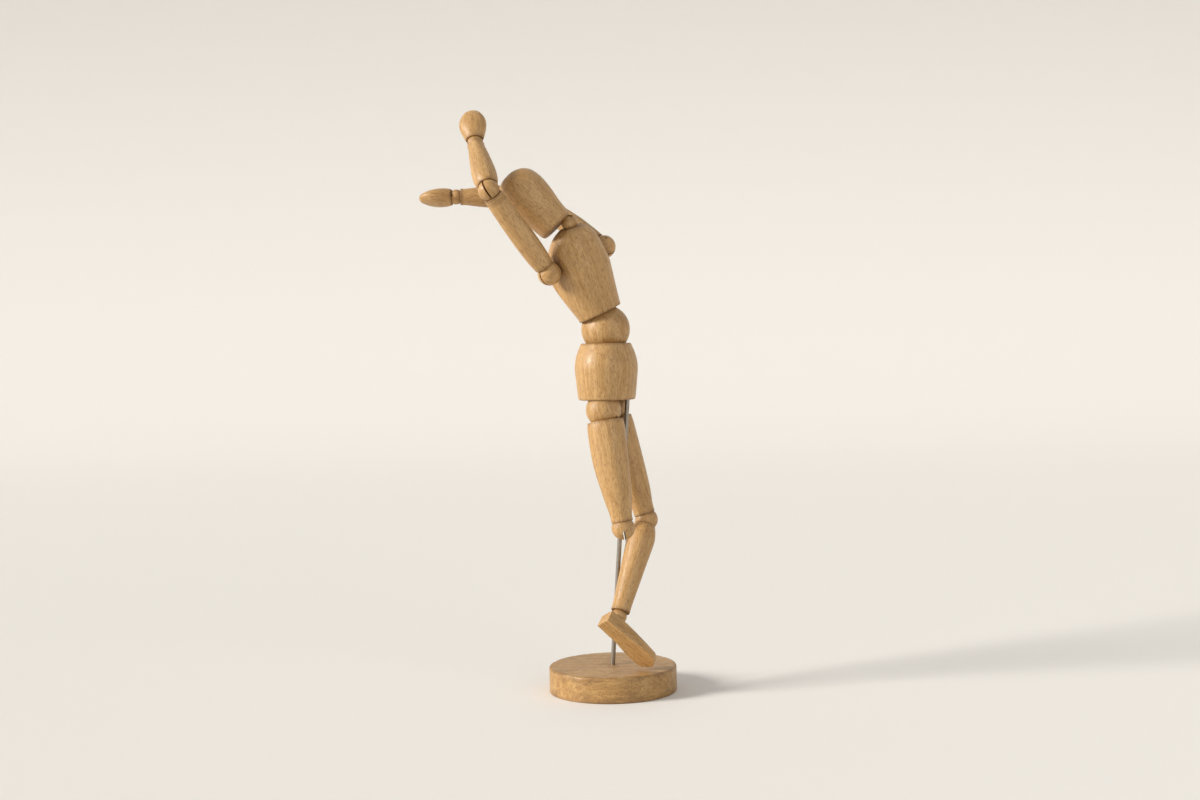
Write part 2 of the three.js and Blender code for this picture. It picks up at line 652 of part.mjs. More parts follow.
footShape.quadraticCurveTo(-ballHalf - footSideBulge, waistAt, -heelHalf - footSideBulge, heelEnd);
footShape.closePath();
const outlineSteps = { depth: soleDrop, bevelEnabled: false, curveSegments: 6 };
const footPlan = solid(new THREE.ExtrudeGeometry(footShape, outlineSteps)).translate(0, 0, -soleDrop);
const footSide = new THREE.Shape().moveTo(-footLength, -soleDrop);
footSide.lineTo(footToeReach, -soleDrop);
footSide.lineTo(footToeReach, footToeThickness - soleDrop);
footSide.quadraticCurveTo(waistAt, -footTopDrop - footToeThickness / 2, ankleEnd, -footTopDrop);
footSide.lineTo(-footLength, -footTopDrop);
footSide.closePath();
const sideSteps = { depth: 2 * footBallWidth, bevelEnabled: false, curveSegments: 8 };
const sideSlab = new THREE.ExtrudeGeometry(footSide, sideSteps).translate(0, 0, -footBallWidth);
// The side view is drawn along the foot and up, then stood on the foot's own axes
sideSlab.applyMatrix4(new THREE.Matrix4().makeBasis(
  new THREE.Vector3(0, 1, 0), new THREE.Vector3(0, 0, 1), new THREE.Vector3(1, 0, 0)));
// The upper edges slope in from the sole's edge to a narrower top
const footSection = new THREE.Shape().moveTo(-footBallWidth, -soleDrop);
footSection.lineTo(footBallWidth, -soleDrop);
footSection.lineTo(ballHalf, footEdgeThickness - soleDrop);
footSection.lineTo(footTopWidth / 2, -footTopDrop);
footSection.lineTo(-footTopWidth / 2, -footTopDrop);
footSection.lineTo(-ballHalf, footEdgeThickness - soleDrop);
footSection.closePath();
const sectionSteps = { depth: 2 * footLength, bevelEnabled: false };
const sectionSlab = new THREE.ExtrudeGeometry(footSection, sectionSteps).translate(0, 0, -footLength);
sectionSlab.rotateX(Math.PI / 2);
addPiece(foot, 'right_foot', footPlan
  .intersect(solid(sideSlab))
  .intersect(solid(sectionSlab))
  .subtract(cup(ankleBallDiameter / 2, 0))
  .subtract(springBore(-footHookDepth - clearance, 0)), wood);
addPiece(ankle, 'right_foot_hook', setHook(ballHookGap(ankleBallDiameter), footHookDepth), steel);

export default figure;
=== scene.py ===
# The looks of the jointed wooden figure: turned wood with grain, worn rims and painted shade in its rings and
# hollows, coil springs, steel pins and rod.
# Every piece is built in millimetres in its own joint's frame and then placed by the imported joints.
import json
import math

import bmesh
import bpy
from mathutils import Matrix, Vector


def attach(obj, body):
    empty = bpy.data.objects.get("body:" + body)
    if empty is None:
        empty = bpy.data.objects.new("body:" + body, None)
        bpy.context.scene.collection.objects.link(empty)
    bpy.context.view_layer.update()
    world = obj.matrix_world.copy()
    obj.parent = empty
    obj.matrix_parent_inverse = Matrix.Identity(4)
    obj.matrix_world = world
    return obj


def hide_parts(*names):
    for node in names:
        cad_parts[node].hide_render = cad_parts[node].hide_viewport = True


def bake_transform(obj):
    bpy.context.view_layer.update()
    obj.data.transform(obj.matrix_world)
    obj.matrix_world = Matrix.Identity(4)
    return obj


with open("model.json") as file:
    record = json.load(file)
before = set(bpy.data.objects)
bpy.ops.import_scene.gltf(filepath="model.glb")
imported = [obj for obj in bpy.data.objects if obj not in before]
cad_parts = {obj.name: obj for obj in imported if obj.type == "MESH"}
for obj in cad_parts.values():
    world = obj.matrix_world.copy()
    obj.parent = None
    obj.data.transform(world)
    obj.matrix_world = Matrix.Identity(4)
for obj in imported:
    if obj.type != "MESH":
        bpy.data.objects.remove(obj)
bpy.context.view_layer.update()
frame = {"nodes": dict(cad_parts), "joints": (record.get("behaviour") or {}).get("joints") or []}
MM = 0.001
joints = {j["name"]: j for j in frame["joints"]}

# The pose at rest, as in the solids: how far each limb is bent on its pin and turned on its axis
BEND = {
    "waist": -21.5, "neck": -29.3,
    "left_shoulder": 72.0, "left_elbow": 66.1, "left_wrist": -18.8,
    "right_shoulder": 95.0, "right_elbow": 45.0, "right_wrist": 10.8,
    "left_hip": -10.7, "left_knee": -6.0,
    "right_hip": -16.7274, "right_knee": -41.2, "right_ankle": -24.0,
}
TURN = {"waist": -85.3, "neck": 30.2, "left_wrist": 24.0, "right_wrist": 90.0, "right_ankle": -41.6}
SWING = {"shoulder": 122.0, "elbow": 122.0, "waist": 34.0, "neck": 42.0, "right_wrist": 56.0}
HINGE_SWING = 68.0

# Sizes shared with the solids
BASE_RADIUS, BASE_HEIGHT, BASE_EDGE = 40.0, 16.0, 1.6
ROD_RADIUS, ROD_FREE, ROD_IN_BASE, ROD_IN_PELVIS, ROD_CHAMFER = 1.4, 167.17, 12.0, 17.0, 0.3
PELVIS_HEIGHT, PELVIS_YAW, HIP_HALF, HIP_DROP = 35.4, 78.0, 11.3, 6.0
PELVIS_WIDTH_RATIO, ROD_BEHIND_PELVIS, WAIST_ABOVE_PELVIS = 1.22, 13.0, 8.7
PELVIS_ANCHOR, PELVIS_RADIUS, PELVIS_BOTTOM_RADIUS, PELVIS_TOP_RADIUS = 22.0, 19.6, 17.6, 15.4
CHEST_WIDTH_RATIO, CHEST_FORWARD, CHEST_BACK_FLAT, CHEST_UPPER_FULL = 1.08, 5.5, 13.0, 2.0
CHEST_BOTTOM, CHEST_BOTTOM_RADIUS, CHEST_BOTTOM_TILT = 10.6, 13.5, 10.5
CHEST_RADIUS, CHEST_TOP_RADIUS = 19.0, 7.0
# The chest's fuller upper front ends on the right, where the raised arm passes
CHEST_FULL_END, CHEST_FULL_FADE, CHEST_FULL_DIP = 12.0, 8.0, -0.25
CHEST_FULL_AT, CHEST_FULL_REACH = 0.86, 0.24
LIMB_FULL_AT, LIMB_FULL_REACH = 0.42, 0.4
SHOULDER_UP, SHOULDER_FORWARD, SHOULDER_HALF, SHOULDER_SEAT_HALF = 46.6, 4.5, 24.0, 16.9
NECK_UP, NECK_SEAT, HEAD_SEAT, HEAD_FORWARD = 70.5, 2.8, 3.6, 6.9
NECK_SPRING_IN_CHEST, NECK_SPRING_IN_HEAD, NECK_BORE = 12.0, 16.0, 2.1
HEAD_LENGTH, HEAD_RADIUS, HEAD_CUT_RADIUS = 43.6, 14.8, 10.5
HAND_LENGTH, HAND_HALF_WIDTH, HAND_HALF_THICK, HAND_HOOK_DEPTH = 24.0, 8.5, 5.8, 13.0
FOOT_TOE, FOOT_HEEL, SOLE_DROP, FOOT_TOP_DROP, FOOT_TOE_THICK = 34.0, 8.0, 12.8, 4.2, 2.6
FOOT_BALL_HALF, FOOT_HEEL_HALF, FOOT_TOP_HALF, TOE_TIP_OFFSET, TOE_TIP_REACH = 7.8, 5.3, 5.0, 0.6, 0.8
FOOT_EDGE_THICK, FOOT_BULGE, FOOT_TOE_ROUND, FOOT_HOOK_DEPTH = 3.0, 0.4, 4.0, 9.0
BALL_RADIUS = {
    "waist": 15.25, "neck": 5.0, "shoulder": 7.3, "elbow": 6.5, "wrist": 4.8,
    "hip": 11.0, "knee": 7.2, "ankle": 4.9,
}
RIM = {"hip": 6.9, "shoulder": 5.8, "elbow": 4.1, "wrist": 2.7, "knee": 3.9, "ankle": 3.1}
LENGTH = {"upper_arm": 64.0, "forearm": 47.0, "thigh": 74.0, "shin": 66.0}
# The hand from its tip to the wrist: share of its length, of its width and of its thickness
HAND_SECTIONS = (
    (1.0, 0.0, 0.0), (0.995, 0.16, 0.13), (0.97, 0.36, 0.29), (0.9, 0.62, 0.48), (0.72, 0.9, 0.74),
    (0.52, 1.0, 0.92), (0.32, 0.93, 1.0), (0.12, 0.77, 0.97), (0.02, 0.68, 0.89),
)

# Steel: pins across the balls, and springs of thin wire whose hooks sit side by side in narrow slots
PIN_RADIUS, PIN_INSET, PIN_PLAY, PIN_DOME = 0.6, 0.9, 0.15, 0.25
PIN_SHOWN = ("left_wrist", "right_shoulder")
SLOT_WIDTH, HOOK_ROOM, EYE_ROOM, SLOT_MARGIN = 1.2, 1.2, 1.5, 4.0
WIRE_RADIUS, EYE_RADIUS, EYE_SHANK, HOOK_OFFSET = 0.23, 0.95, 0.5, 0.3
EYE_START, EYE_SWEEP, EYE_STEPS = -60.0, 315.0, 18
COIL_RADIUS, NECK_COIL_RADIUS, COIL_PITCH, COIL_STEPS = 1.7, 1.27, 0.55, 10
ANCHOR_GAP, CHEST_ANCHOR_GAP, BALL_GAP = 2.0, 4.0, 1.0
CUP_GAP, BORE_RADIUS, RIM_ROUND = 0.2, 3.0, 0.4
KNEE_HOOK_LENGTH = 8.0

# How finely the pieces are divided
SEGMENTS = 72
SIDE_STEPS = 110
BALL_SEGMENTS, BALL_RINGS = 64, 40
ROD_STEPS = 24
# Sanding: the size of the even mesh, the passes of smoothing and the share of faces that is kept
BLOCK_SANDING, FOOT_SANDING = (0.42, 3, 0.4), (0.26, 2, 0.4)
# An edge that turns by more than this many degrees stays sharp
TURNED_SHARP, BLOCK_SHARP, FOOT_SHARP = 38.0, 60.0, 50.0


def kind(name):
    return name.split("_")[-1]


def ball_frame(name):
    """The ball's frame at rest: its pin along X, its parent's axis along Z."""
    pos = Vector(joints[name + "_spin"]["pos_m"])
    z = Vector(joints[name + "_spin"]["axis"]).normalized()
    x = Vector(joints[name + "_bend"]["axis"]).normalized()
    y = z.cross(x)
    turn = Matrix((x, y, z)).transposed().to_4x4()
    return Matrix.Translation(pos) @ turn


def limb_frame(name):
    bent = Matrix.Rotation(math.radians(BEND[name]), 4, "X")
    turned = Matrix.Rotation(math.radians(TURN.get(name, 0.0)), 4, "Z")
    return ball_frame(name) @ bent @ turned


def smooth(points, count):
    """A rounded curve through [radius, height] points, with evenly shared steps."""
    pts = [Vector((p[0], p[1])) for p in points]
    pts = [2 * pts[0] - pts[1]] + pts + [2 * pts[-1] - pts[-2]]
    spans = len(pts) - 3
    out = []
    for k in range(count + 1):
        t = k / count * spans
        i = min(int(t), spans - 1)
        u = t - i
        a, b, c, d = pts[i:i + 4]
        bow = (2 * a - 5 * b + 4 * c - d) * u * u + (3 * b - 3 * c + d - a) * u ** 3
        p = 0.5 * (2 * b + (c - a) * u + bow)
        out.append((max(p.x, 0.0), p.y))
    return out


def arc(radius, centre_z, start, end, count):
    """Points on a circle round (0, centre_z), by the angle from the plane across the axis."""
    out = []
    for k in range(count + 1):
        a = start + (end - start) * k / count
        out.append((radius * math.cos(a), centre_z + radius * math.sin(a)))
    return out


def rounded(corner, before, after, radius, count=5):
    """A rounded corner between two neighbouring points."""
    c = Vector(corner)
    into = (Vector(before) - c).normalized() * radius
    away = (Vector(after) - c).normalized() * radius
    out = []
    for k in range(count + 1):
        t = k / count
        p = (c + into) * (1 - t) ** 2 + c * 2 * t * (1 - t) + (c + away) * t * t
        out.append((p.x, p.y))
    return out


def new_object(name, bm):
    bmesh.ops.remove_doubles(bm, verts=bm.verts, dist=1e-5)
    bmesh.ops.recalc_face_normals(bm, faces=bm.faces)
    mesh = bpy.data.meshes.new(name)
    bm.to_mesh(mesh)
    bm.free()
    obj = bpy.data.objects.new(name, mesh)
    bpy.context.scene.collection.objects.link(obj)
    return obj


def ringed(name, rings, closed=False, segments=SEGMENTS):
    """A piece of oval rings about Z, each (half width, half depth, height). An open one ends in points."""
    bm = bmesh.new()
    loops = []
    for wide, deep, z in rings:
        if wide < 1e-6:
            loops.append([bm.verts.new((0, 0, z))])
            continue
        loop = []
        for k in range(segments):
            a = 2 * math.pi * k / segments
            loop.append(bm.verts.new((wide * math.cos(a), deep * math.sin(a), z)))
        loops.append(loop)
    pairs = list(zip(loops, loops[1:]))
    if closed:
        pairs.append((loops[-1], loops[0]))
    for low, high in pairs:
        for k in range(segments):
            n = (k + 1) % segments
            corners = [low[k % len(low)], low[n % len(low)], high[n % len(high)], high[k % len(high)]]
            unique = list(dict.fromkeys(corners))
            if len(unique) > 2:
                bm.faces.new(unique)
    return new_object(name, bm)


def lathe(name, profile, closed=False, segments=SEGMENTS, scale=(1.0, 1.0)):
    """A turned piece about Z. A closed profile is a ring with a bore; an open one ends on the axis."""
    return ringed(name, [(r * scale[0], r * scale[1], z) for r, z in profile], closed, segments)


def tube(name, path, radius, sides=6):
    """A wire along a path of points, closed at both ends."""
    bm = bmesh.new()
    points = [Vector(p) for p in path]
    rings = []
    across = None
    for i, point in enumerate(points):
        ahead = (points[min(i + 1, len(points) - 1)] - points[max(i - 1, 0)]).normalized()
        across = ahead.orthogonal() if across is None else across - ahead * across.dot(ahead)
        across.normalize()
        beside = ahead.cross(across)
        ring = []
        for k in range(sides):
            a = 2 * math.pi * k / sides
            ring.append(bm.verts.new(point + radius * (math.cos(a) * across + math.sin(a) * beside)))
        rings.append(ring)
    for low, high in zip(rings, rings[1:]):
        for k in range(sides):
            n = (k + 1) % sides
            bm.faces.new((low[k], low[n], high[n], high[k]))
    bm.faces.new(rings[0])
    bm.faces.new(rings[-1])
    return new_object(name, bm)


def sphere(radius, z=0.0, x=0.0, y=0.0, segments=BALL_SEGMENTS, rings=BALL_RINGS):
    bm = bmesh.new()
    bmesh.ops.create_uvsphere(bm, u_segments=segments, v_segments=rings, radius=radius)
    bmesh.ops.translate(bm, vec=(x, y, z), verts=bm.verts)
    return new_object("cutter", bm)


def box(size, centre, turn=None):
    bm = bmesh.new()
    bmesh.ops.create_cube(bm, size=1.0)
    bmesh.ops.scale(bm, vec=size, verts=bm.verts)
    bmesh.ops.translate(bm, vec=centre, verts=bm.verts)
    if turn is not None:
        bmesh.ops.transform(bm, matrix=turn, verts=bm.verts)
    return new_object("cutter", bm)


def rod_shape(radius, low, high, axis="Z", at=(0, 0, 0), sides=32):
    bm = bmesh.new()
    bmesh.ops.create_cone(bm, cap_ends=True, segments=sides, radius1=radius, radius2=radius, depth=high - low)
    bmesh.ops.translate(bm, vec=(0, 0, (low + high) / 2), verts=bm.verts)
    if axis == "X":
        bmesh.ops.rotate(bm, cent=(0, 0, 0), matrix=Matrix.Rotation(math.pi / 2, 3, "Y"), verts=bm.verts)
    bmesh.ops.translate(bm, vec=at, verts=bm.verts)
    return new_object("cutter", bm)


def fan(radius, swing, width, up=False, steps=28):
    """The sector that a hook sweeps round X, centred on -Z or, where it is up, on +Z."""
    bm = bmesh.new()
    sign = 1.0 if up else -1.0
    walls = []
    for x in (-width / 2, width / 2):
        wall = [bm.verts.new((x, 0, 0))]
        for k in range(steps + 1):
            a = math.radians(-swing + 2 * swing * k / steps)
            wall.append(bm.verts.new((x, radius * math.sin(a), sign * radius * math.cos(a))))
        walls.append(wall)
    bm.faces.new(walls[0])
    bm.faces.new(walls[1])
    n = len(walls[0])
    for k in range(n):
        m = (k + 1) % n
        bm.faces.new((walls[0][k], walls[0][m], walls[1][m], walls[1][k]))
    return new_object("cutter", bm)


def baked(obj):
    """Turns an object's modifiers into its mesh."""
    bpy.context.view_layer.update()
    graph = bpy.context.evaluated_depsgraph_get()
    mesh = bpy.data.meshes.new_from_object(obj.evaluated_get(graph))
    obj.modifiers.clear()
    old = obj.data
    obj.data = mesh
    bpy.data.meshes.remove(old)


def cut(obj, *cutters):
    for cutter in cutters:
        step = obj.modifiers.new("cut", "BOOLEAN")
        step.operation = "DIFFERENCE"
        step.solver = "EXACT"
        step.object = cutter
        baked(obj)
        mesh = cutter.data
        bpy.data.objects.remove(cutter)
        bpy.data.meshes.remove(mesh)
    return obj


def softened(obj, voxel, passes, keep):
    """Rounds every edge as sanding does: an even remesh, a little smoothing and fewer faces."""
    step = obj.modifiers.new("even", "REMESH")
    step.mode = "VOXEL"
    step.voxel_size = voxel
    step = obj.modifiers.new("sand", "SMOOTH")
    step.factor = 0.5
    step.iterations = passes
    step = obj.modifiers.new("fewer", "DECIMATE")
    step.ratio = keep
    baked(obj)
    return obj


def set_wear_and_shade(obj, rule):
    """Stores how worn or grimy each point is, or how much painted shade it gets, from 0 to 1, for the
    materials.
    """
    mesh = obj.data
    layer = mesh.attributes.new("wear_and_shade", "FLOAT", "POINT")
    layer.data.foreach_set("value", [min(1.0, max(0.0, rule(v.co))) for v in mesh.vertices])


def near(value, target, reach):
    return max(0.0, 1.0 - abs(value - target) / reach)


def swell(value, target, reach):
    """As near(), with a rounded top and soft ends."""
    part = near(value, target, reach)
    return part * part * (3.0 - 2.0 * part)


def place(obj, name, matrix, body, material, node, wear_and_shade=None, sharp=TURNED_SHARP, twist=None):
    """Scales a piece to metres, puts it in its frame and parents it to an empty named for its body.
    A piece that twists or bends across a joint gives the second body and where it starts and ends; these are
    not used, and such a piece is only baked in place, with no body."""
    set_wear_and_shade(obj, wear_and_shade or (lambda co: 0.0))
    obj.name = name
    obj.data.name = name
    obj.data.transform(Matrix.Scale(MM, 4))
    obj.data.shade_smooth()
    obj.data.set_sharp_from_angle(angle=math.radians(sharp))
    obj.data.materials.clear()
    obj.data.materials.append(material)
    obj.matrix_world = matrix
    if twist:
        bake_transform(obj)
    else:
        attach(obj, body)
    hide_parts(node)


class Nodes:
    """A small helper that adds and links shader nodes."""

    def __init__(self, name):
        self.material = bpy.data.materials.new(name)
        self.material.use_nodes = True
        self.tree = self.material.node_tree
        self.shader = self.tree.nodes["Principled BSDF"]

    def add(self, kind_name, **values):
        node = self.tree.nodes.new(kind_name)
        for key, value in values.items():
            setattr(node, key, value)
        return node

    def link(self, a, b):
        self.tree.links.new(a, b)

    def mapping(self, source, scale, location, rotation=(0, 0, 0)):
        node = self.add("ShaderNodeMapping")
        node.inputs["Scale"].default_value = scale
        node.inputs["Location"].default_value = location
        node.inputs["Rotation"].default_value = rotation
        self.link(source, node.inputs["Vector"])
        return node.outputs["Vector"]

    def noise(self, vector, scale, detail=3.0, roughness=0.5, distortion=0.0):
        node = self.add("ShaderNodeTexNoise")
        node.inputs["Scale"].default_value = scale
        node.inputs["Detail"].default_value = detail
        node.inputs["Roughness"].default_value = roughness
        node.inputs["Distortion"].default_value = distortion
        self.link(vector, node.inputs["Vector"])
        return node.outputs["Fac"]

    def ramp(self, fac, low, high, from_value=0.0, to_value=1.0):
        node = self.add("ShaderNodeMapRange", interpolation_type="SMOOTHSTEP")
        node.inputs["From Min"].default_value = low
        node.inputs["From Max"].default_value = high
        node.inputs["To Min"].default_value = from_value
        node.inputs["To Max"].default_value = to_value
        self.link(fac, node.inputs["Value"])
        return node.outputs["Result"]

    def mix(self, fac, a, b, blend="MIX"):
        node = self.add("ShaderNodeMix", data_type="RGBA", blend_type=blend)
        for socket, value in ((node.inputs[0], fac), (node.inputs[6], a), (node.inputs[7], b)):
            if isinstance(value, bpy.types.NodeSocket):
                self.link(value, socket)
            else:
                socket.default_value = value
        return node.outputs[2]

    def maths(self, operation, a, b):
        node = self.add("ShaderNodeMath", operation=operation)
        for socket, value in ((node.inputs[0], a), (node.inputs[1], b)):
            if isinstance(value, bpy.types.NodeSocket):
                self.link(value, socket)
            else:
                socket.default_value = value
        return node.outputs[0]


PALE, HONEY = (0.58, 0.355, 0.145, 1), (0.45, 0.250, 0.082, 1)
# The second dark colour is used both for rubbed dirt and scratches and for painted shade in creases and
# hollows
FLECK, GRIME_AND_SHADE = (0.215, 0.100, 0.028, 1), (0.140, 0.064, 0.020, 1)
BASE_PALE, BASE_HONEY = (0.53, 0.32, 0.115, 1), (0.39, 0.21, 0.062, 1)


def wood(name, seed, rotation=(0, 0, 0), pale=PALE, honey=HONEY, scuff=0.0):
    """Lacquered wood: grain along the piece's own Z, short dark flecks, dirt where hands and rims rub, and
    painted shade in rings and hollows, both taken from the stored mask.
    """
    m = Nodes(name)
    place_mm = m.mapping(m.add("ShaderNodeTexCoord").outputs["Object"], (1 / MM,) * 3,
                         (seed * 37.7 % 91, seed * 17.3 % 83, seed * 53.1 % 97), rotation)
    stretched = m.mapping(place_mm, (1, 1, 0.045), (0, 0, 0))
    dashes = m.mapping(place_mm, (1, 1, 0.16), (5, 3, 1))
    tone = m.noise(place_mm, 0.045, 2.0)
    bands = m.noise(stretched, 0.34, 4.0, 0.55, 0.6)
    fibre = m.noise(stretched, 2.6, 3.0, 0.6)
    flecks = m.noise(dashes, 2.0, 1.0, 0.4)
    streaks = m.noise(dashes, 0.8, 3.0, 0.6)
    blotch = m.noise(place_mm, 0.22, 4.0, 0.6)
    colour = m.mix(m.ramp(bands, 0.34, 0.68), pale, honey)
    colour = m.mix(m.ramp(tone, 0.35, 0.75, 0.0, 0.35), colour, honey)
    colour = m.mix(m.ramp(streaks, 0.50, 0.72, 0.0, 0.34), colour, FLECK)
    colour = m.mix(m.ramp(fibre, 0.48, 0.78, 0.0, 0.45), colour, FLECK)
    fleck_mask = m.ramp(flecks, 0.57, 0.68, 0.0, 0.62)
    colour = m.mix(fleck_mask, colour, FLECK)
    # The stored mask: dirt at rubbed rims, and painted shade in turned rings, bores and slots
    wear_and_shade = m.add("ShaderNodeAttribute", attribute_name="wear_and_shade").outputs["Fac"]
    grime_and_shade = m.maths("MULTIPLY", wear_and_shade, m.ramp(blotch, 0.30, 0.62, 0.25, 0.85))
    colour = m.mix(grime_and_shade, colour, GRIME_AND_SHADE)
    if scuff:
        scratch_place = m.mapping(place_mm, (0.14, 1.2, 1.2), (2, 7, 4), (0.0, 0.5, 0.7))
        scratch = m.ramp(m.noise(scratch_place, 0.8, 5.0, 0.7), 0.54, 0.66, 0.0, scuff)
        colour = m.mix(scratch, colour, GRIME_AND_SHADE)
        stain_place = m.mapping(place_mm, (1, 1, 0.3), (9, 2, 6))
        stain = m.ramp(m.noise(stain_place, 0.11, 5.0, 0.65), 0.47, 0.68, 0.0, scuff)
        colour = m.mix(stain, colour, GRIME_AND_SHADE)
    m.link(colour, m.shader.inputs["Base Color"])
    rough = m.ramp(blotch, 0.30, 0.70, 0.40, 0.56)
    rough = m.maths("ADD", rough, m.maths("MULTIPLY", grime_and_shade, 0.22))
    m.link(rough, m.shader.inputs["Roughness"])
    relief = m.maths("SUBTRACT", m.maths("MULTIPLY", fibre, 0.5), fleck_mask)
    bump = m.add("ShaderNodeBump")
    bump.inputs["Strength"].default_value = 0.25
    bump.inputs["Distance"].default_value = 0.00012
    m.link(relief, bump.inputs["Height"])
    m.link(bump.outputs["Normal"], m.shader.inputs["Normal"])
    m.shader.inputs["Coat Weight"].default_value = 0.12
    m.shader.inputs["Coat Roughness"].default_value = 0.35
    return m.material


def steel(name, tint=(0.42, 0.40, 0.37, 1), stretch=(1, 1, 0.03)):
    """Drawn steel wire: fine lines along Z, a little tarnish."""
    m = Nodes(name)
    place_mm = m.mapping(m.add("ShaderNodeTexCoord").outputs["Object"], (1 / MM,) * 3, (3, 5, 7))
    lines = m.noise(m.mapping(place_mm, stretch, (0, 0, 0)), 5.0, 3.0, 0.6)
    tarnish = m.ramp(m.noise(place_mm, 0.16, 4.0, 0.6), 0.45, 0.72, 0.0, 0.55)
    colour = m.mix(m.ramp(lines, 0.3, 0.7, 0.0, 0.35), tint, (0.24, 0.22, 0.2, 1))
    m.link(m.mix(tarnish, colour, (0.2, 0.13, 0.07, 1)), m.shader.inputs["Base Color"])
    m.link(m.maths("ADD", m.ramp(lines, 0.3, 0.7, 0.26, 0.4), m.maths("MULTIPLY", tarnish, 0.3)),
           m.shader.inputs["Roughness"])
    m.shader.inputs["Metallic"].default_value = 1.0
    bump = m.add("ShaderNodeBump")
    bump.inputs["Strength"].default_value = 0.15
    bump.inputs["Distance"].default_value = 0.00005
    m.link(lines, bump.inputs["Height"])
    m.link(bump.outputs["Normal"], m.shader.inputs["Normal"])
    return m.material


STEEL = steel("drawn_steel")
ROD_STEEL = steel("rod_steel", (0.33, 0.30, 0.255, 1))
SPRING_STEEL = steel("spring_steel", (0.30, 0.29, 0.28, 1), (1, 1, 1))

# The two anchor pins inside the wood stay as packed, with the finish of the other pins
for packed_name, packed_node in frame["nodes"].items():
    if packed_name.endswith("_anchor_pin"):
        packed_node.data.materials.clear()
        packed_node.data.materials.append(STEEL)


def grooved(side, heights):
    """Adds fine turned rings at the given heights to an outline that runs down a limb."""
    half, depth = 0.3, 0.26
    kept = [p for p in side if all(abs(p[1] - z) > half for z in heights)]
    for z in heights:
        radius = min(side, key=lambda p: abs(p[1] - z))[0]
        kept += [(radius, z + half), (radius - depth, z), (radius, z - half)]
    return sorted(kept, key=lambda p: -p[1])


def limb_profile(points, length, near_ball, far_ball, grooves):
    """The closed outline of a bored limb along -Z, cupped at both ends with rounded rims."""
    near_cup = near_ball + CUP_GAP
    far_cup = far_ball + CUP_GAP
    side = grooved(smooth(points, SIDE_STEPS), grooves)
    top, bottom = side[0], side[-1]
    near_z, far_z = top[1], bottom[1]
    near_lip = math.sqrt(near_cup ** 2 - near_z ** 2)
    far_lip = math.sqrt(far_cup ** 2 - (far_z + length) ** 2)
    near_round = min(RIM_ROUND, 0.7 * (top[0] - near_lip))
    far_round = min(RIM_ROUND, 0.7 * (bottom[0] - far_lip))
    outline = rounded(top, (near_lip, near_z), side[3], near_round)
    outline += side[3:-3]
    outline += rounded(bottom, side[-4], (far_lip, far_z), far_round)
    low = math.asin((far_z + length) / far_cup)
    deep = math.acos(BORE_RADIUS / far_cup)
    outline += arc(far_cup, -length, low, deep, 10)
    deep = math.acos(BORE_RADIUS / near_cup)
    low = math.asin(near_z / near_cup)
    outline += arc(near_cup, 0.0, -deep, low, 10)
    return outline


def rim_wear_and_shade(length, near_rim, far_rim, grooves):
    """Dirt rubbed in at a limb's two rims, and painted shade in its turned rings and inside its bore and
    cups.
    """
    def rule(co):
        # Painted shade: the turned rings and the bore are darkened as hollows where shade falls
        rings = max((near(co.z, z, 0.3) for z in grooves), default=0.0)
        inside = 0.8 if co.xy.length < 3.3 else 0.0
        return 0.85 * max(near(co.z, -near_rim, 2.2), near(co.z, far_rim - length, 2.2), rings, inside)
    return rule


def ball_wear_and_shade(radius):
    """Rubbed bands: a ball is grimy where its cups have turned on it. Painted shade darkens the inside of its
    slot and pin hole, more towards the centre.
    """
    def rule(co):
        # The second term is painted shade deep in the slot and pin hole
        return 0.35 * near(co.z, 0.45 * radius, 0.5 * radius) + 0.3 * near(co.length, 0.0, 0.97 * radius) * 3
    return rule


def add_ball(name, seed):
    """A slotted ball with its steel pin, whose domed ends are sunk under plugs unless they show."""
    part = kind(name)
    radius = BALL_RADIUS[part]
    upwards = name == "waist"
    swing = SWING.get(name, SWING.get(part, HINGE_SWING)) + SLOT_MARGIN
    ball = sphere(radius)
    reach = radius + 2
    parent_side = -1 if upwards else 1
    cutters = [
        fan(reach, swing, SLOT_WIDTH, upwards),
        box((SLOT_WIDTH, HOOK_ROOM, reach), (0, 0, parent_side * reach / 2)),
        rod_shape(EYE_ROOM, -SLOT_WIDTH / 2, SLOT_WIDTH / 2, "X"),
    ]
    if name in PIN_SHOWN:
        cutters.append(rod_shape(PIN_RADIUS + PIN_PLAY, -reach, reach, "X", sides=24))
    cut(ball, *cutters)
    matrix = ball_frame(name)
    body = name + "_ball"
    place(ball, name + "_bead", matrix, body, wood(name + "_bead_wood", seed, (0.2, 0.1, 0.0)),
          name + "_ball", ball_wear_and_shade(radius))
    half = radius - PIN_INSET
    side = [(0.0, -half), (PIN_RADIUS * 0.6, -half + 0.05), (PIN_RADIUS, -half + PIN_DOME)]
    side += [(PIN_RADIUS, half - PIN_DOME), (PIN_RADIUS * 0.6, half - 0.05), (0.0, half)]
    pin = lathe("pin", side, segments=20)
    pin.data.transform(Matrix.Rotation(math.pi / 2, 4, "Y"))
    place(pin, name + "_pin_wire", matrix, body, STEEL, name + "_pin")


def eye(z, angle, offset, below=True):
    """The loop of a hook round a pin at height z, from its free end to where its shank leaves it."""
    along = Vector((math.cos(angle), math.sin(angle), 0))
    across = Vector((-math.sin(angle), math.cos(angle), 0))
    sign = -1 if below else 1
    loop = []
    for k in range(EYE_STEPS + 1):
        a = math.radians(EYE_START + EYE_SWEEP * k / EYE_STEPS)
        loop.append(along * offset + across * EYE_RADIUS * math.cos(a)
                    + Vector((0, 0, z - sign * EYE_RADIUS * math.sin(a))))
    loop.append(along * offset + Vector((0, 0, z + sign * (EYE_RADIUS + EYE_SHANK))))
    return loop


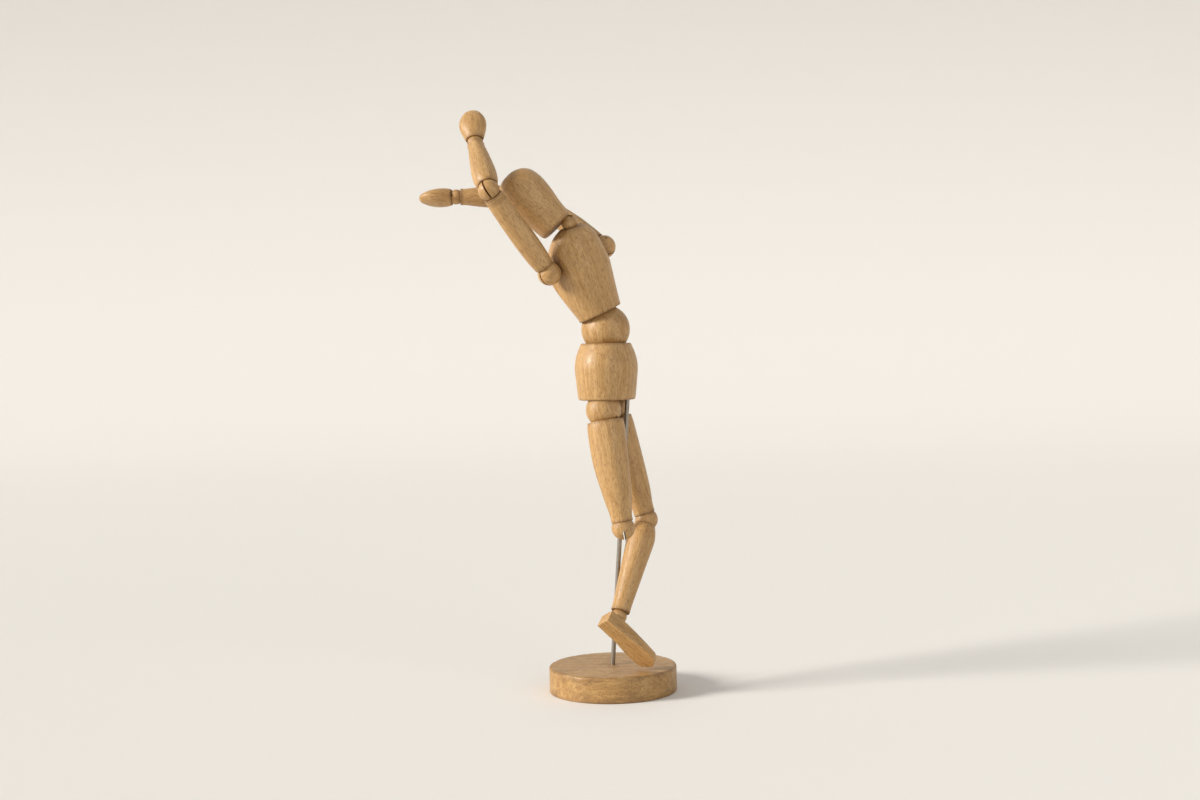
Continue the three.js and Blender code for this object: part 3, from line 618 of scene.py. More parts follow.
def coil(high, low):
    """Close turns of wire down Z, drawn in to the axis at both ends."""
    steps = round((high - low) / COIL_PITCH * COIL_STEPS)
    turns = []
    for k in range(steps + 1):
        radius = COIL_RADIUS * min(1.0, k / COIL_STEPS, (steps - k) / COIL_STEPS)
        a = 2 * math.pi * k / COIL_STEPS
        turns.append(Vector((radius * math.cos(a), radius * math.sin(a), high + (low - high) * k / steps)))
    return turns


def angle_round(matrix, direction):
    """The angle of a direction in the row frame round a frame's own Z."""
    local = matrix.to_3x3().inverted() @ direction
    return math.atan2(local.y, local.x)


def add_spring(node, matrix, length, gaps, near, body, far_ball=None, far_pin=None):
    """A tension spring along -Z, hooked on a pin at each end. Its far hook is drawn round the far ball's pin.
    """
    near_gap, far_gap = gaps
    pin = ball_frame(far_ball).to_3x3().col[0] if far_ball else far_pin
    offset = -HOOK_OFFSET if far_ball else 0.0
    path = eye(0.0, *near) + coil(-near_gap, far_gap - length)
    path += reversed(eye(-length, angle_round(matrix, pin), offset, False))
    twist = None
    if far_ball:
        shank = Vector((0, 0, far_gap - length)), Vector((0, 0, EYE_RADIUS + EYE_SHANK - length))
        twist = (far_ball + "_ball", *shank)
    place(tube(node, path, WIRE_RADIUS), node + "_coil", matrix, body, SPRING_STEEL, node,
          twist=twist)


def add_set_hook(node, matrix, depth, gap, body):
    """A short spring set in a piece, hooked on the pin at the frame's origin."""
    path = eye(0.0, 0.0, HOOK_OFFSET) + coil(-gap, -depth)
    place(tube(node, path, WIRE_RADIUS), node + "_coil", matrix, body, SPRING_STEEL, node)


def add_limb(node, joint, far_joint, points, seed, grooves=(), extra_cuts=(), front_full=0.0):
    """A bored and cupped limb with the spring that runs through it. It may be fuller at its front."""
    part = "_".join(node.split("_")[1:])
    near_part, far_part = kind(joint), kind(far_joint)
    length = LENGTH[part]
    profile = limb_profile(points, length, BALL_RADIUS[near_part], BALL_RADIUS[far_part], grooves)
    piece = lathe("limb", profile, closed=True)
    cut(piece, *extra_cuts)
    matrix = limb_frame(joint)
    if front_full:
        front = (matrix.to_3x3().inverted() @ Vector((-1, 0, 0))).xy.normalized()
        for v in piece.data.vertices:
            if v.co.xy.length > 1.5 * BORE_RADIUS:
                facing = max(0.0, v.co.xy.normalized().dot(front))
                fuller = swell(v.co.z, -LIMB_FULL_AT * length, LIMB_FULL_REACH * length)
                v.co.xy += front_full * facing ** 2 * fuller * front
    place(piece, node + "_turned", matrix, node, wood(node + "_wood", seed), node,
          rim_wear_and_shade(length, RIM[near_part], RIM[far_part], grooves))
    gaps = (BALL_RADIUS[near_part] + BALL_GAP, BALL_RADIUS[far_part] + BALL_GAP)
    add_spring(node + "_spring", matrix, length, gaps, (0.0, HOOK_OFFSET), node, far_joint)


# Base: a turned disc cut across a plank, with a knocked and rounded top edge
base_side = [(0.0, 0.0)]
base_side += [(r, 0.0) for r in (10, 20, 30, 36)]
base_side += rounded((BASE_RADIUS, 0.0), (BASE_RADIUS - 2, 0.0), (BASE_RADIUS, 2.0), 0.8)
base_side += [(BASE_RADIUS, z) for z in (3, 5, 7, 9, 11, 13)]
base_side += rounded((BASE_RADIUS, BASE_HEIGHT), (BASE_RADIUS, BASE_HEIGHT - 2),
                     (BASE_RADIUS - 2, BASE_HEIGHT), BASE_EDGE, 8)
base_side += [(r, BASE_HEIGHT) for r in (36, 32, 26, 18, 10)] + [(0.0, BASE_HEIGHT)]
base = lathe("base", base_side, segments=160)
# Small dents along the top edge, from a fixed sum of waves
for v in base.data.vertices:
    rim = near(math.hypot(v.co.x, v.co.y), BASE_RADIUS - 0.4, 1.6) * near(v.co.z, BASE_HEIGHT - 0.4, 1.8)
    if rim > 0.0:
        a = math.atan2(v.co.y, v.co.x)
        dent = max(0.0, math.sin(7 * a + 1.0) * math.sin(13 * a + 0.4) * math.sin(29 * a) - 0.12)
        v.co.x *= 1 - 0.012 * dent * rim
        v.co.y *= 1 - 0.012 * dent * rim
        v.co.z -= 0.5 * dent * rim
rod_axis = Vector(joints["pelvis_swivel"]["axis"])
rod_turn = Vector((0, 0, 1)).rotation_difference(rod_axis).to_matrix().to_4x4()
rod_frame = Matrix.Translation((0, 0, BASE_HEIGHT * MM)) @ rod_turn
hole = rod_shape(ROD_RADIUS + 0.2, -ROD_IN_BASE - 0.2, ROD_IN_BASE)
hole.data.transform(Matrix.Translation((0, 0, BASE_HEIGHT)) @ rod_turn)
cut(base, hole)


# Darker along the top edge, round the rod hole and along the bottom
def base_darkening(co):
    r = co.xy.length
    return 0.75 * near(r, BASE_RADIUS, 2.0) * near(co.z, BASE_HEIGHT, 2.2) + 0.6 * near(r, 0.0, 5.0) \
        + 0.7 * near(co.z, 0.0, 1.6)


place(base, "base_disc", Matrix.Identity(4), "base",
      wood("base_disc_wood", 3, (0.0, math.pi / 2, 0.6), BASE_PALE, BASE_HONEY, 0.48), "base", base_darkening)

# Support rod, with a small chamfer at each end
rod_top = ROD_FREE + ROD_IN_PELVIS
rod_straight = rod_top + ROD_IN_BASE - 2 * ROD_CHAMFER
rod_side = [(0.0, -ROD_IN_BASE), (ROD_RADIUS - ROD_CHAMFER, -ROD_IN_BASE)]
for k in range(ROD_STEPS + 1):
    rod_side.append((ROD_RADIUS, ROD_CHAMFER - ROD_IN_BASE + rod_straight * k / ROD_STEPS))
rod_side += [(ROD_RADIUS - ROD_CHAMFER, rod_top), (0.0, rod_top)]
place(lathe("rod", rod_side, segments=32), "support_wire", rod_frame, "base", ROD_STEEL,
      "support_rod")

# Pelvis: an oval block, cupped for the waist and the hips, bored for the rod
pelvis_frame = Matrix.Translation(
    (Vector(joints["left_hip_spin"]["pos_m"]) + Vector(joints["right_hip_spin"]["pos_m"])) / 2
    + Vector((0, 0, HIP_DROP * MM))) @ Matrix.Rotation(math.radians(PELVIS_YAW), 4, "Z")
pelvis_side = smooth([
    (PELVIS_BOTTOM_RADIUS + 0.2, 1.0), (PELVIS_RADIUS - 1.1, PELVIS_HEIGHT * 0.2),
    (PELVIS_RADIUS - 0.5, PELVIS_HEIGHT * 0.38), (PELVIS_RADIUS, PELVIS_HEIGHT * 0.58),
    (PELVIS_RADIUS - 1.1, PELVIS_HEIGHT * 0.78), (PELVIS_TOP_RADIUS + 0.6, PELVIS_HEIGHT - 1.2)], 40)
pelvis_bottom = rounded((PELVIS_BOTTOM_RADIUS, 0.0), (9.0, 0.0), (PELVIS_BOTTOM_RADIUS + 0.3, 2.0), 0.9)
pelvis_top = rounded((PELVIS_TOP_RADIUS, PELVIS_HEIGHT), pelvis_side[-1], (8.0, PELVIS_HEIGHT), 0.8)
pelvis_side = [(0.0, 0.0), (9.0, 0.0)] + pelvis_bottom + pelvis_side[1:] + pelvis_top
pelvis_side += [(8.0, PELVIS_HEIGHT), (0.0, PELVIS_HEIGHT)]
pelvis = lathe("pelvis", pelvis_side, segments=96, scale=(PELVIS_WIDTH_RATIO, 1.0))
rod_bore = rod_shape(ROD_RADIUS + 0.25, -ROD_IN_BASE, ROD_IN_PELVIS + 0.3)
rod_bore.data.transform(Matrix.Translation((0, -ROD_BEHIND_PELVIS, 0))
                        @ Matrix.Rotation(-math.radians(PELVIS_YAW), 4, "Z") @ rod_turn)
pelvis_cuts = [
    sphere(BALL_RADIUS["waist"] + CUP_GAP, PELVIS_HEIGHT + WAIST_ABOVE_PELVIS), rod_bore,
    rod_shape(BORE_RADIUS, PELVIS_ANCHOR - BORE_RADIUS, PELVIS_HEIGHT),
]
for x in (-HIP_HALF, HIP_HALF):
    pelvis_cuts.append(sphere(BALL_RADIUS["hip"] + CUP_GAP, -HIP_DROP, x))
    pelvis_cuts.append(rod_shape(BORE_RADIUS, -1.0, PELVIS_ANCHOR + BORE_RADIUS, at=(x, 0, 0)))
cut(pelvis, *pelvis_cuts)
softened(pelvis, *BLOCK_SANDING)


def pelvis_wear(co):
    return 0.8 * near(co.z, 0.0, 1.4) + 0.8 * near(co.z, PELVIS_HEIGHT, 1.8)


place(pelvis, "pelvis_block", pelvis_frame, "pelvis", wood("pelvis_wood", 11), "pelvis",
      pelvis_wear, BLOCK_SHARP)
for side, x in (("left", -HIP_HALF), ("right", HIP_HALF)):
    add_spring(side + "_hip_spring", pelvis_frame @ Matrix.Translation(Vector((x, 0, PELVIS_ANCHOR)) * MM),
               PELVIS_ANCHOR + HIP_DROP, (ANCHOR_GAP, BALL_RADIUS["hip"] + BALL_GAP), (0.0, 0.0),
               "pelvis", side + "_hip")
# The waist's springs run upwards, so they are drawn in frames that are turned over
OVER = Matrix.Rotation(math.pi, 4, "X")
waist_gap = BALL_RADIUS["waist"] + BALL_GAP
add_spring("waist_lower_spring", pelvis_frame @ Matrix.Translation((0, 0, PELVIS_ANCHOR * MM)) @ OVER,
           PELVIS_HEIGHT + WAIST_ABOVE_PELVIS - PELVIS_ANCHOR, (ANCHOR_GAP, waist_gap), (0.0, 0.0),
           "pelvis", "waist")

# Chest: a turned block that bulges forward, flat at the back and where the shoulder balls sit
chest_top = NECK_UP - NECK_SEAT
chest_height = chest_top - CHEST_BOTTOM


def chest_at(share):
    return CHEST_BOTTOM + share * chest_height


chest_front_drop = CHEST_BOTTOM_RADIUS * math.tan(math.radians(CHEST_BOTTOM_TILT))
chest_side = smooth([
    (CHEST_BOTTOM_RADIUS, chest_at(0) - chest_front_drop), (CHEST_BOTTOM_RADIUS, chest_at(0) + 1.0),
    (CHEST_BOTTOM_RADIUS + 2.2, chest_at(0.2)), (CHEST_RADIUS - 1.0, chest_at(0.4)),
    (CHEST_RADIUS, chest_at(0.56)), (CHEST_RADIUS - 1.6, chest_at(0.7)), (CHEST_RADIUS - 4.5, chest_at(0.84)),
    (CHEST_TOP_RADIUS + 4.0, chest_at(0.94)), (CHEST_TOP_RADIUS, chest_at(1))], 60)
chest_side = [(0.0, chest_side[0][1])] + chest_side + [(0.0, chest_top)]
chest = lathe("chest", chest_side, segments=112, scale=(CHEST_WIDTH_RATIO, 1.0))
for v in chest.data.vertices:
    share = min(1.0, max(0.0, (v.co.z - CHEST_BOTTOM) / (SHOULDER_UP - CHEST_BOTTOM)))
    fade = (chest_top - v.co.z) / (chest_top - SHOULDER_UP) if v.co.z > SHOULDER_UP else 1.0
    front = max(0.0, v.co.y / max(1.0, v.co.xy.length))
    v.co.y += CHEST_FORWARD * math.sin(share * math.pi / 2) * max(0.0, fade)
    clear = min(1.0, max(CHEST_FULL_DIP, (CHEST_FULL_END - v.co.x) / CHEST_FULL_FADE))
    fuller = swell(v.co.z, chest_at(CHEST_FULL_AT), CHEST_FULL_REACH * chest_height)
    v.co.y += CHEST_UPPER_FULL * clear * front ** 2 * fuller
big = 150.0
underside_turn = Matrix.Rotation(-math.radians(CHEST_BOTTOM_TILT), 4, "X")
underside = Matrix.Translation((0, 0, CHEST_BOTTOM)) @ underside_turn
chest_cuts = [
    box((big,) * 3, (0, -big / 2 - CHEST_BACK_FLAT, chest_at(0.5))),
    box((big,) * 3, (0, 0, -big / 2), underside),
    sphere(BALL_RADIUS["waist"] + CUP_GAP),
    sphere(BALL_RADIUS["neck"] + CUP_GAP, NECK_UP),
    rod_shape(BORE_RADIUS, 0.0, SHOULDER_UP + BORE_RADIUS),
    rod_shape(NECK_BORE, chest_top - NECK_SPRING_IN_CHEST, NECK_UP),
    rod_shape(BORE_RADIUS, -SHOULDER_HALF, SHOULDER_HALF, "X", (0, SHOULDER_FORWARD, SHOULDER_UP)),
]
shoulder_cup = BALL_RADIUS["shoulder"] + CUP_GAP
for sign in (-1, 1):
    chest_cuts.append(box((big,) * 3, (sign * (big / 2 + SHOULDER_SEAT_HALF), 0, SHOULDER_UP)))
    chest_cuts.append(sphere(shoulder_cup, SHOULDER_UP, sign * SHOULDER_HALF, SHOULDER_FORWARD))
cut(chest, *chest_cuts)
softened(chest, *BLOCK_SANDING)
underside_up = underside.inverted()
shoulder_middle = Vector((SHOULDER_FORWARD, SHOULDER_UP))


def chest_wear(co):
    seat = near(abs(co.x), SHOULDER_SEAT_HALF, 1.0) * near((co.yz - shoulder_middle).length, 5.0, 5.0)
    rim = near((underside_up @ co).z, 0.0, 1.6)
    return 0.8 * rim + 0.7 * near(co.z, chest_top, 2.0) + 0.6 * seat


chest_frame = limb_frame("waist")
place(chest, "chest_block", chest_frame, "chest", wood("chest_wood", 23), "chest",
      chest_wear, BLOCK_SHARP)
waist_swung = ball_frame("waist") @ Matrix.Rotation(math.radians(BEND["waist"]), 4, "X")
add_spring("waist_upper_spring", waist_swung @ OVER, SHOULDER_UP, (waist_gap, CHEST_ANCHOR_GAP),
           (0.0, HOOK_OFFSET), "chest", far_pin=chest_frame.to_3x3().col[1])
for side, sign in (("left", -1), ("right", 1)):
    shoulder_frame = chest_frame @ Matrix.Translation(Vector((0, SHOULDER_FORWARD, SHOULDER_UP)) * MM)
    shoulder_frame = shoulder_frame @ Matrix.Rotation(-sign * math.pi / 2, 4, "Y")
    add_spring(side + "_shoulder_spring", shoulder_frame, SHOULDER_HALF,
               (CHEST_ANCHOR_GAP, BALL_RADIUS["shoulder"] + BALL_GAP), (math.pi / 2, sign * 2 * HOOK_OFFSET),
               "chest", side + "_shoulder")

# Neck bead and head: a plain egg, cut flat at the neck
neck_bead = sphere(BALL_RADIUS["neck"])
neck_slot = 2 * (NECK_COIL_RADIUS + WIRE_RADIUS + CUP_GAP)
cut(neck_bead, fan(BALL_RADIUS["neck"] + 2, SWING["neck"] + SLOT_MARGIN, neck_slot, True),
    rod_shape(neck_slot / 2, -2 * BALL_RADIUS["neck"], 0.0))
neck_frame = ball_frame("neck")
place(neck_bead, "neck_bead", neck_frame, "neck_ball", wood("neck_bead_wood", 31), "neck_ball",
      ball_wear_and_shade(BALL_RADIUS["neck"]))
# The neck's spring is drawn bent to the head's lean, over a short stretch inside the bead
neck_bottom = 0.3 - NECK_SEAT - NECK_SPRING_IN_CHEST
neck_bend_half = 2.5
neck_steps = round((NECK_SPRING_IN_HEAD - neck_bottom) / COIL_PITCH * COIL_STEPS)
neck_path = []
axis_point = Vector((0, 0, neck_bottom))
for k in range(neck_steps + 1):
    step = (NECK_SPRING_IN_HEAD - neck_bottom) / neck_steps
    share = min(1.0, max(0.0, (neck_bottom + k * step + neck_bend_half) / (2 * neck_bend_half)))
    lean = math.radians(BEND["neck"]) * share
    ahead = Vector((0, -math.sin(lean), math.cos(lean)))
    beside = ahead.cross(Vector((1, 0, 0)))
    a = 2 * math.pi * k / COIL_STEPS
    neck_path.append(axis_point + NECK_COIL_RADIUS * (math.cos(a) * Vector((1, 0, 0)) + math.sin(a) * beside))
    axis_point = axis_point + step * ahead
bend_start, bend_end = Vector((0, 0, -neck_bend_half)), Vector((0, 0, neck_bend_half))
place(tube("neck_spring", neck_path, WIRE_RADIUS), "neck_spring_coil", neck_frame, "neck_ball",
      SPRING_STEEL, "neck_spring", twist=("head", bend_start, bend_end))


def head_at(share):
    return HEAD_SEAT + share * HEAD_LENGTH


head_side = smooth([
    (HEAD_CUT_RADIUS + 0.5, head_at(0.02)), (HEAD_CUT_RADIUS + 1.1, head_at(0.07)),
    (HEAD_RADIUS * 0.84, head_at(0.25)), (HEAD_RADIUS * 0.95, head_at(0.45)), (HEAD_RADIUS, head_at(0.66)),
    (HEAD_RADIUS * 0.92, head_at(0.82)), (HEAD_RADIUS * 0.72, head_at(0.92)),
    (HEAD_RADIUS * 0.42, head_at(0.98)), (HEAD_RADIUS * 0.16, head_at(0.998)), (0.0, head_at(1.0))], 80)
head_rim = rounded((HEAD_CUT_RADIUS, head_at(0)), (4.0, head_at(0)), head_side[6], 0.8)
head_side = [(0.0, head_at(0)), (4.0, head_at(0))] + head_rim + head_side[6:-1] + [(0.0, head_at(1.0))]
head = lathe("head", head_side, segments=96)
head.data.transform(Matrix.Translation((0, HEAD_FORWARD, 0)))
cut(head, sphere(BALL_RADIUS["neck"] + CUP_GAP), rod_shape(NECK_BORE, 0.0, NECK_SPRING_IN_HEAD + 0.3))
place(head, "head_egg", limb_frame("neck"), "head", wood("head_wood", 37), "head",
      lambda co: 0.8 * near(co.z, HEAD_SEAT, 1.8))

# Arms
ARM_RADIUS, RIGHT_ARM_SLIM = 7.2, 0.4
for side in ("left", "right"):
    seed = 41 if side == "left" else 61
    for k, part in enumerate(("shoulder", "elbow", "wrist")):
        add_ball(f"{side}_{part}", seed + k)
    arm, elbow_end = ARM_RADIUS, BALL_RADIUS["elbow"] - 0.4
    length = LENGTH["upper_arm"]
    elbow_rim = RIM["elbow"] - length
    slim = RIGHT_ARM_SLIM if side == "right" else 0.0
    add_limb(f"{side}_upper_arm", f"{side}_shoulder", f"{side}_elbow", [
        (arm - 1.2 - slim, -RIM["shoulder"]), (arm - 0.4 - slim, -length * 0.2), (arm, -length * 0.42),
        ((arm + elbow_end) / 2, -length * 0.74), (elbow_end, elbow_rim)],
        seed + 4, [elbow_rim + reach for reach in (4.6, 3.6, 2.6)])
    fore, wrist_end = 7.5, 5.3
    length = LENGTH["forearm"]
    # One small hole near the right wrist
    holes = []
    if side == "right":
        holes = [rod_shape(0.45, 3.0, 9.0, "X", (0, 0, 6.6 - length), 16)]
        holes[0].data.transform(Matrix.Rotation(math.radians(-62), 4, "Z"))
    add_limb(f"{side}_forearm", f"{side}_elbow", f"{side}_wrist", [
        (elbow_end, -RIM["elbow"]), (fore - 0.3, -length * 0.2), (fore, -length * 0.36),
        ((fore + wrist_end) / 2, -length * 0.66), (wrist_end, -length * 0.86),
        (wrist_end, RIM["wrist"] - length)],
        seed + 5, extra_cuts=holes)

    def hand_at(share):
        return -RIM["wrist"] - share * (HAND_LENGTH - RIM["wrist"])

    widths = smooth([(HAND_HALF_WIDTH * w, hand_at(share)) for share, w, t in HAND_SECTIONS], 64)
    depths = smooth([(HAND_HALF_THICK * t, hand_at(share)) for share, w, t in HAND_SECTIONS], 64)
    hand_rings = [(w[0], t[0], w[1]) for w, t in zip(widths, depths)]
    hand_rings[0] = (0.0, 0.0, hand_at(1.0))
    wide, deep, _ = hand_rings[-1]
    hand_rings += [(wide - 0.3, deep - 0.3, hand_at(0)), (2.0, 2.0, hand_at(0)), (0.0, 0.0, hand_at(0))]
    hand = ringed("hand", hand_rings, segments=80)
    cut(hand, sphere(BALL_RADIUS["wrist"] + CUP_GAP), rod_shape(BORE_RADIUS, -HAND_HOOK_DEPTH - 0.3, 0.0))
    place(hand, f"{side}_hand_drop", limb_frame(f"{side}_wrist"), f"{side}_hand",
          wood(f"{side}_hand_wood", seed + 7), f"{side}_hand",
          lambda co: 0.7 * near(co.z, -RIM["wrist"], 1.4))
    unturned = limb_frame(f"{side}_wrist") @ Matrix.Rotation(-math.radians(TURN[f"{side}_wrist"]), 4, "Z")
    add_set_hook(f"{side}_hand_hook", unturned, HAND_HOOK_DEPTH, BALL_RADIUS["wrist"] + BALL_GAP,
                 f"{side}_hand")

# Legs
thigh, knee_end, calf, ankle_end = 11.5, BALL_RADIUS["knee"] - 0.5, 8.8, 5.9
LEFT_THIGH_FULL, RIGHT_THIGH_SLIM = 1.6, 0.2
for side in ("left", "right"):
    seed = 83 if side == "left" else 97
    for k, part in enumerate(("hip", "knee")):
        add_ball(f"{side}_{part}", seed + k)
    length = LENGTH["thigh"]
    full = LEFT_THIGH_FULL if side == "left" else 0.0
    slim = RIGHT_THIGH_SLIM if side == "right" else 0.0
    add_limb(f"{side}_thigh", f"{side}_hip", f"{side}_knee", [
        (thigh - 0.4, -RIM["hip"]), (thigh - slim, -length * 0.16), (thigh - 0.6 - slim, -length * 0.32),
        (thigh - 1.5 - slim, -length * 0.52), ((thigh + knee_end) / 2 - 0.4 - slim, -length * 0.74),
        (knee_end + 0.2, -length * 0.88), (knee_end, RIM["knee"] - length)], seed + 4, front_full=full)
add_ball("right_ankle", 103)
add_ball("waist", 107)
length = LENGTH["shin"]
add_limb("right_shin", "right_knee", "right_ankle", [
    (knee_end, -RIM["knee"]), (calf - 0.5, -length * 0.14), (calf, -length * 0.23),
    (calf - 0.9, -length * 0.42), ((calf + ankle_end) / 2 - 0.4, -length * 0.64),
    (ankle_end + 0.1, -length * 0.86), (ankle_end, RIM["ankle"] - length)], 109)

# The wire link on the left knee's pin: an eye, a shank and an eye below the ball
link = eye(0.0, 0.0, HOOK_OFFSET) + list(reversed(eye(-KNEE_HOOK_LENGTH, 0.0, HOOK_OFFSET, False)))
place(tube("link", link, WIRE_RADIUS * 1.2, 10), "left_knee_wire", limb_frame("left_knee"), "left_knee_hook",
      STEEL, "left_knee_hook")

# Right foot: a wedge cut from a block, its plan and side outlines crossed and then sanded
foot_length = FOOT_TOE + FOOT_HEEL


def quadratic(a, b, c, count):
    out = []
    for k in range(1, count + 1):
        t = k / count
        out.append(tuple(a[i] * (1 - t) ** 2 + 2 * b[i] * t * (1 - t) + c[i] * t * t for i in range(2)))
    return out


heel_end, waist_at, ball_at = foot_length * 0.2, foot_length * 0.5, foot_length * 0.66
ball_in, ball_out = FOOT_BALL_HALF - FOOT_BULGE, FOOT_BALL_HALF + FOOT_BULGE
heel_out = FOOT_HEEL_HALF + FOOT_BULGE
toe_tip = (TOE_TIP_OFFSET, FOOT_TOE + TOE_TIP_REACH)
plan = [(-FOOT_HEEL_HALF, -FOOT_HEEL), (FOOT_HEEL_HALF, -FOOT_HEEL), (heel_out, heel_end)]
plan += quadratic(plan[-1], (ball_out, waist_at), (ball_in, ball_at), 14)
plan += quadratic(plan[-1], (FOOT_BALL_HALF - 0.3, FOOT_TOE - FOOT_TOE_ROUND / 2), toe_tip, 14)
plan += quadratic(plan[-1], (-FOOT_BALL_HALF, FOOT_TOE - FOOT_TOE_ROUND / 4), (-ball_in, ball_at), 14)
plan += quadratic(plan[-1], (-ball_out, waist_at), (-heel_out, heel_end), 14)
beyond = FOOT_TOE + 1
profile = [(-foot_length, -SOLE_DROP), (beyond, -SOLE_DROP), (beyond, FOOT_TOE_THICK - SOLE_DROP)]
instep = (waist_at, -FOOT_TOP_DROP - FOOT_TOE_THICK / 2)
profile += quadratic(profile[-1], instep, (ankle_end, -FOOT_TOP_DROP), 18)
profile += [(-foot_length, -FOOT_TOP_DROP)]
section = [(2 * FOOT_BALL_HALF, -SOLE_DROP), (FOOT_BALL_HALF, FOOT_EDGE_THICK - SOLE_DROP),
           (FOOT_TOP_HALF, -FOOT_TOP_DROP)]
section += [(-x, z) for x, z in reversed(section)]


def slab(points, low, high, stand):
    """A straight block with the given outline, between two levels."""
    bm = bmesh.new()
    walls = [[bm.verts.new(stand(x, y, level)) for x, y in points] for level in (low, high)]
    bm.faces.new(walls[0])
    bm.faces.new(walls[1])
    n = len(points)
    for k in range(n):
        m = (k + 1) % n
        bm.faces.new((walls[0][k], walls[0][m], walls[1][m], walls[1][k]))
    return new_object("slab", bm)


foot = slab(plan, -SOLE_DROP - 1, 0.0, lambda x, y, level: (x, y, level))
for crossed in (slab(profile, -20.0, 20.0, lambda x, y, level: (level, x, y)),
                slab(section, -foot_length, foot_length, lambda x, y, level: (x, level, y))):
    crossing = foot.modifiers.new("cross", "BOOLEAN")
    crossing.operation = "INTERSECT"
    crossing.solver = "EXACT"
    crossing.object = crossed
    baked(foot)
    bpy.data.objects.remove(crossed)
cut(foot, sphere(BALL_RADIUS["ankle"] + CUP_GAP), rod_shape(BORE_RADIUS, -FOOT_HOOK_DEPTH - 0.3, 0.0))
softened(foot, *FOOT_SANDING)
place(foot, "right_foot_wedge", limb_frame("right_ankle"), "right_foot",
      wood("right_foot_wood", 113, (math.pi / 2, 0, 0)), "right_foot",
      lambda co: 0.5 * near(co.y, FOOT_TOE, 2.0) * near(co.z, FOOT_TOE_THICK - SOLE_DROP, 2.0), FOOT_SHARP)
ankle_frame = limb_frame("right_ankle") @ Matrix.Rotation(-math.radians(TURN["right_ankle"]), 4, "Z")
add_set_hook("right_foot_hook", ankle_frame, FOOT_HOOK_DEPTH, BALL_RADIUS["ankle"] + BALL_GAP, "right_foot")


# Floor, light and camera
def plain(name, colour, roughness):
    m = Nodes(name)
    m.shader.inputs["Base Color"].default_value = colour
    m.shader.inputs["Roughness"].default_value = roughness
    return m.material


# The floor runs back level and sweeps up into a wall far behind
SWEEP_START, SWEEP_RADIUS, FLOOR_HALF, FLOOR_FRONT, WALL_TOP = 2.2, 1.2, 6.0, -6.0, 4.5
sweep = [(FLOOR_FRONT, 0.0), (-1.0, 0.0), (1.0, 0.0)]
for k in range(25):
    a = math.pi / 2 * k / 24
    sweep.append((SWEEP_START + SWEEP_RADIUS * math.sin(a), SWEEP_RADIUS * (1 - math.cos(a))))
sweep.append((SWEEP_START + SWEEP_RADIUS, WALL_TOP))
floor_mesh = bmesh.new()
edges = [[floor_mesh.verts.new((x, y, z)) for y, z in sweep] for x in (-FLOOR_HALF, FLOOR_HALF)]
for k in range(len(sweep) - 1):
    floor_mesh.faces.new((edges[0][k], edges[1][k], edges[1][k + 1], edges[0][k + 1]))
floor = new_object("floor", floor_mesh)
floor.data.shade_smooth()
floor.data.materials.append(plain("floor_paper", (0.86, 0.843, 0.81, 1), 0.9))

# The world lights softly; where it is seen or mirrored it is pale
world = bpy.data.worlds.new("studio")
bpy.context.scene.world = world
world.use_nodes = True
tree = world.node_tree
soft = tree.nodes["Background"]
soft.inputs["Color"].default_value = (0.94, 0.92, 0.90, 1)
soft.inputs["Strength"].default_value = 0.37
seen = tree.nodes.new("ShaderNodeBackground")
seen.inputs["Color"].default_value = (0.80, 0.78, 0.745, 1)
rays = tree.nodes.new("ShaderNodeLightPath")
either = tree.nodes.new("ShaderNodeMath")
either.operation = "MAXIMUM"
tree.links.new(rays.outputs["Is Camera Ray"], either.inputs[0])
tree.links.new(rays.outputs["Is Glossy Ray"], either.inputs[1])
any_seen = tree.nodes.new("ShaderNodeMath")
any_seen.operation = "MAXIMUM"
tree.links.new(either.outputs[0], any_seen.inputs[0])
tree.links.new(rays.outputs["Is Transmission Ray"], any_seen.inputs[1])
chosen = tree.nodes.new("ShaderNodeMixShader")
tree.links.new(any_seen.outputs[0], chosen.inputs[0])
tree.links.new(soft.outputs[0], chosen.inputs[1])
tree.links.new(seen.outputs[0], chosen.inputs[2])
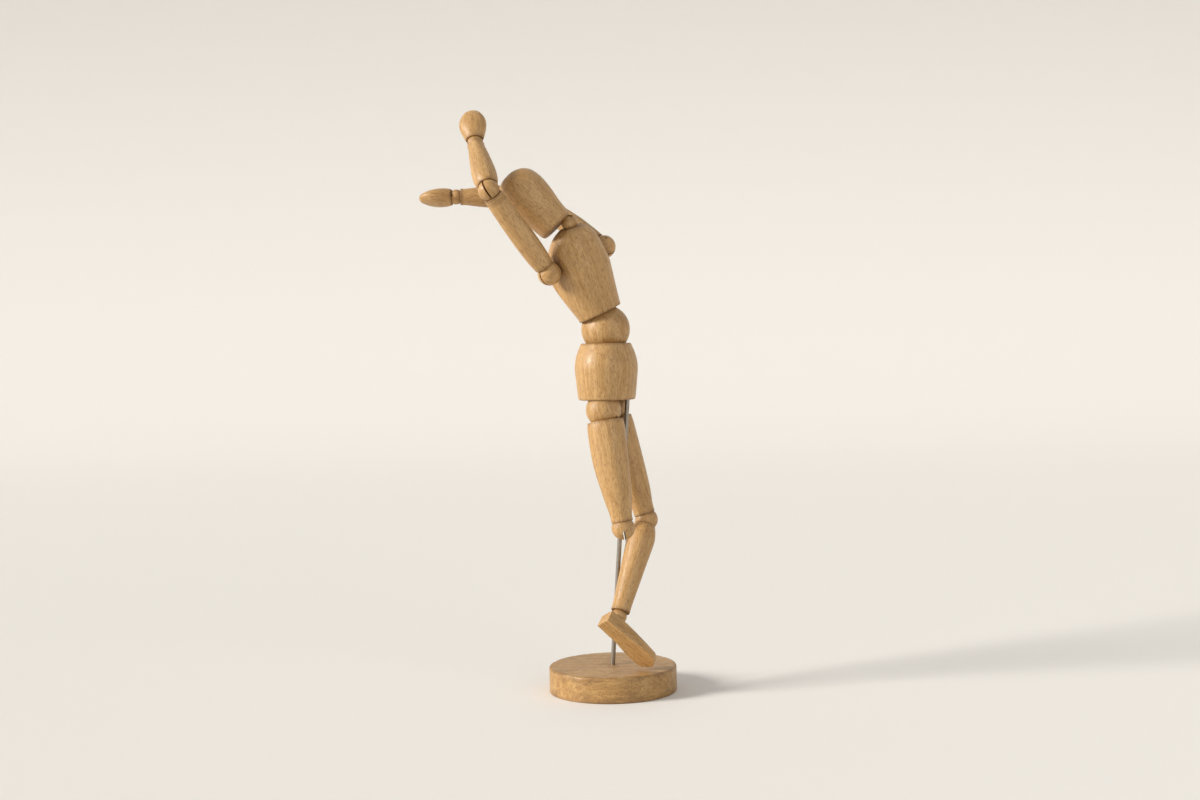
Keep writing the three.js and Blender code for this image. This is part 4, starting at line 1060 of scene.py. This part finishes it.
tree.links.new(chosen.outputs[0], tree.nodes["World Output"].inputs["Surface"])


def lamp(name, lamp_kind, place_mm, aim_mm, power, colour):
    data = bpy.data.lights.new(name, lamp_kind)
    data.energy = power
    data.color = colour
    obj = bpy.data.objects.new(name, data)
    bpy.context.scene.collection.objects.link(obj)
    obj.location = Vector(place_mm) * MM
    obj.rotation_euler = (Vector(aim_mm) * MM - obj.location).to_track_quat("-Z", "Y").to_euler()
    return data


# A broad far light from the left, so that the floor is evenly lit, and a weak soft one from the right
key = lamp("key", "SUN", (-2300, -650, 1200), (0, 0, 190), 3.8, (1.0, 0.96, 0.905))
key.angle = math.radians(20)
fill = lamp("fill", "AREA", (1300, -1700, 1200), (0, 0, 180), 10.0, (1.0, 0.98, 0.96))
fill.shape = "DISK"
fill.size = 1.8

CAMERA_PLACE = Vector((-4.6, -970.0, 217.0)) * MM
NEAREST_SEEN = 0.01
SENSOR, IMAGE_WIDTH, FOCAL_PIXELS, HORIZON_PIXELS = 36.0, 1200.0, 1552.0, 55.0
CAMERA_PITCH = math.atan(HORIZON_PIXELS / FOCAL_PIXELS)
CAMERA_ROLL = math.radians(1.2)
ahead = Vector((0, math.cos(CAMERA_PITCH), -math.sin(CAMERA_PITCH)))
level_right = Vector((1, 0, 0))
level_up = level_right.cross(ahead)
right = math.cos(CAMERA_ROLL) * level_right - math.sin(CAMERA_ROLL) * level_up
up = math.sin(CAMERA_ROLL) * level_right + math.cos(CAMERA_ROLL) * level_up
camera_data = bpy.data.cameras.new("camera")
camera_data.sensor_fit = "HORIZONTAL"
camera_data.sensor_width = SENSOR
camera_data.lens = SENSOR * FOCAL_PIXELS / IMAGE_WIDTH
camera_data.clip_start = NEAREST_SEEN
camera = bpy.data.objects.new("camera", camera_data)
bpy.context.scene.collection.objects.link(camera)
camera.matrix_world = Matrix.Translation(CAMERA_PLACE) @ Matrix((right, up, -ahead)).transposed().to_4x4()
bpy.context.scene.camera = camera
bpy.context.scene.view_settings.view_transform = "Standard"
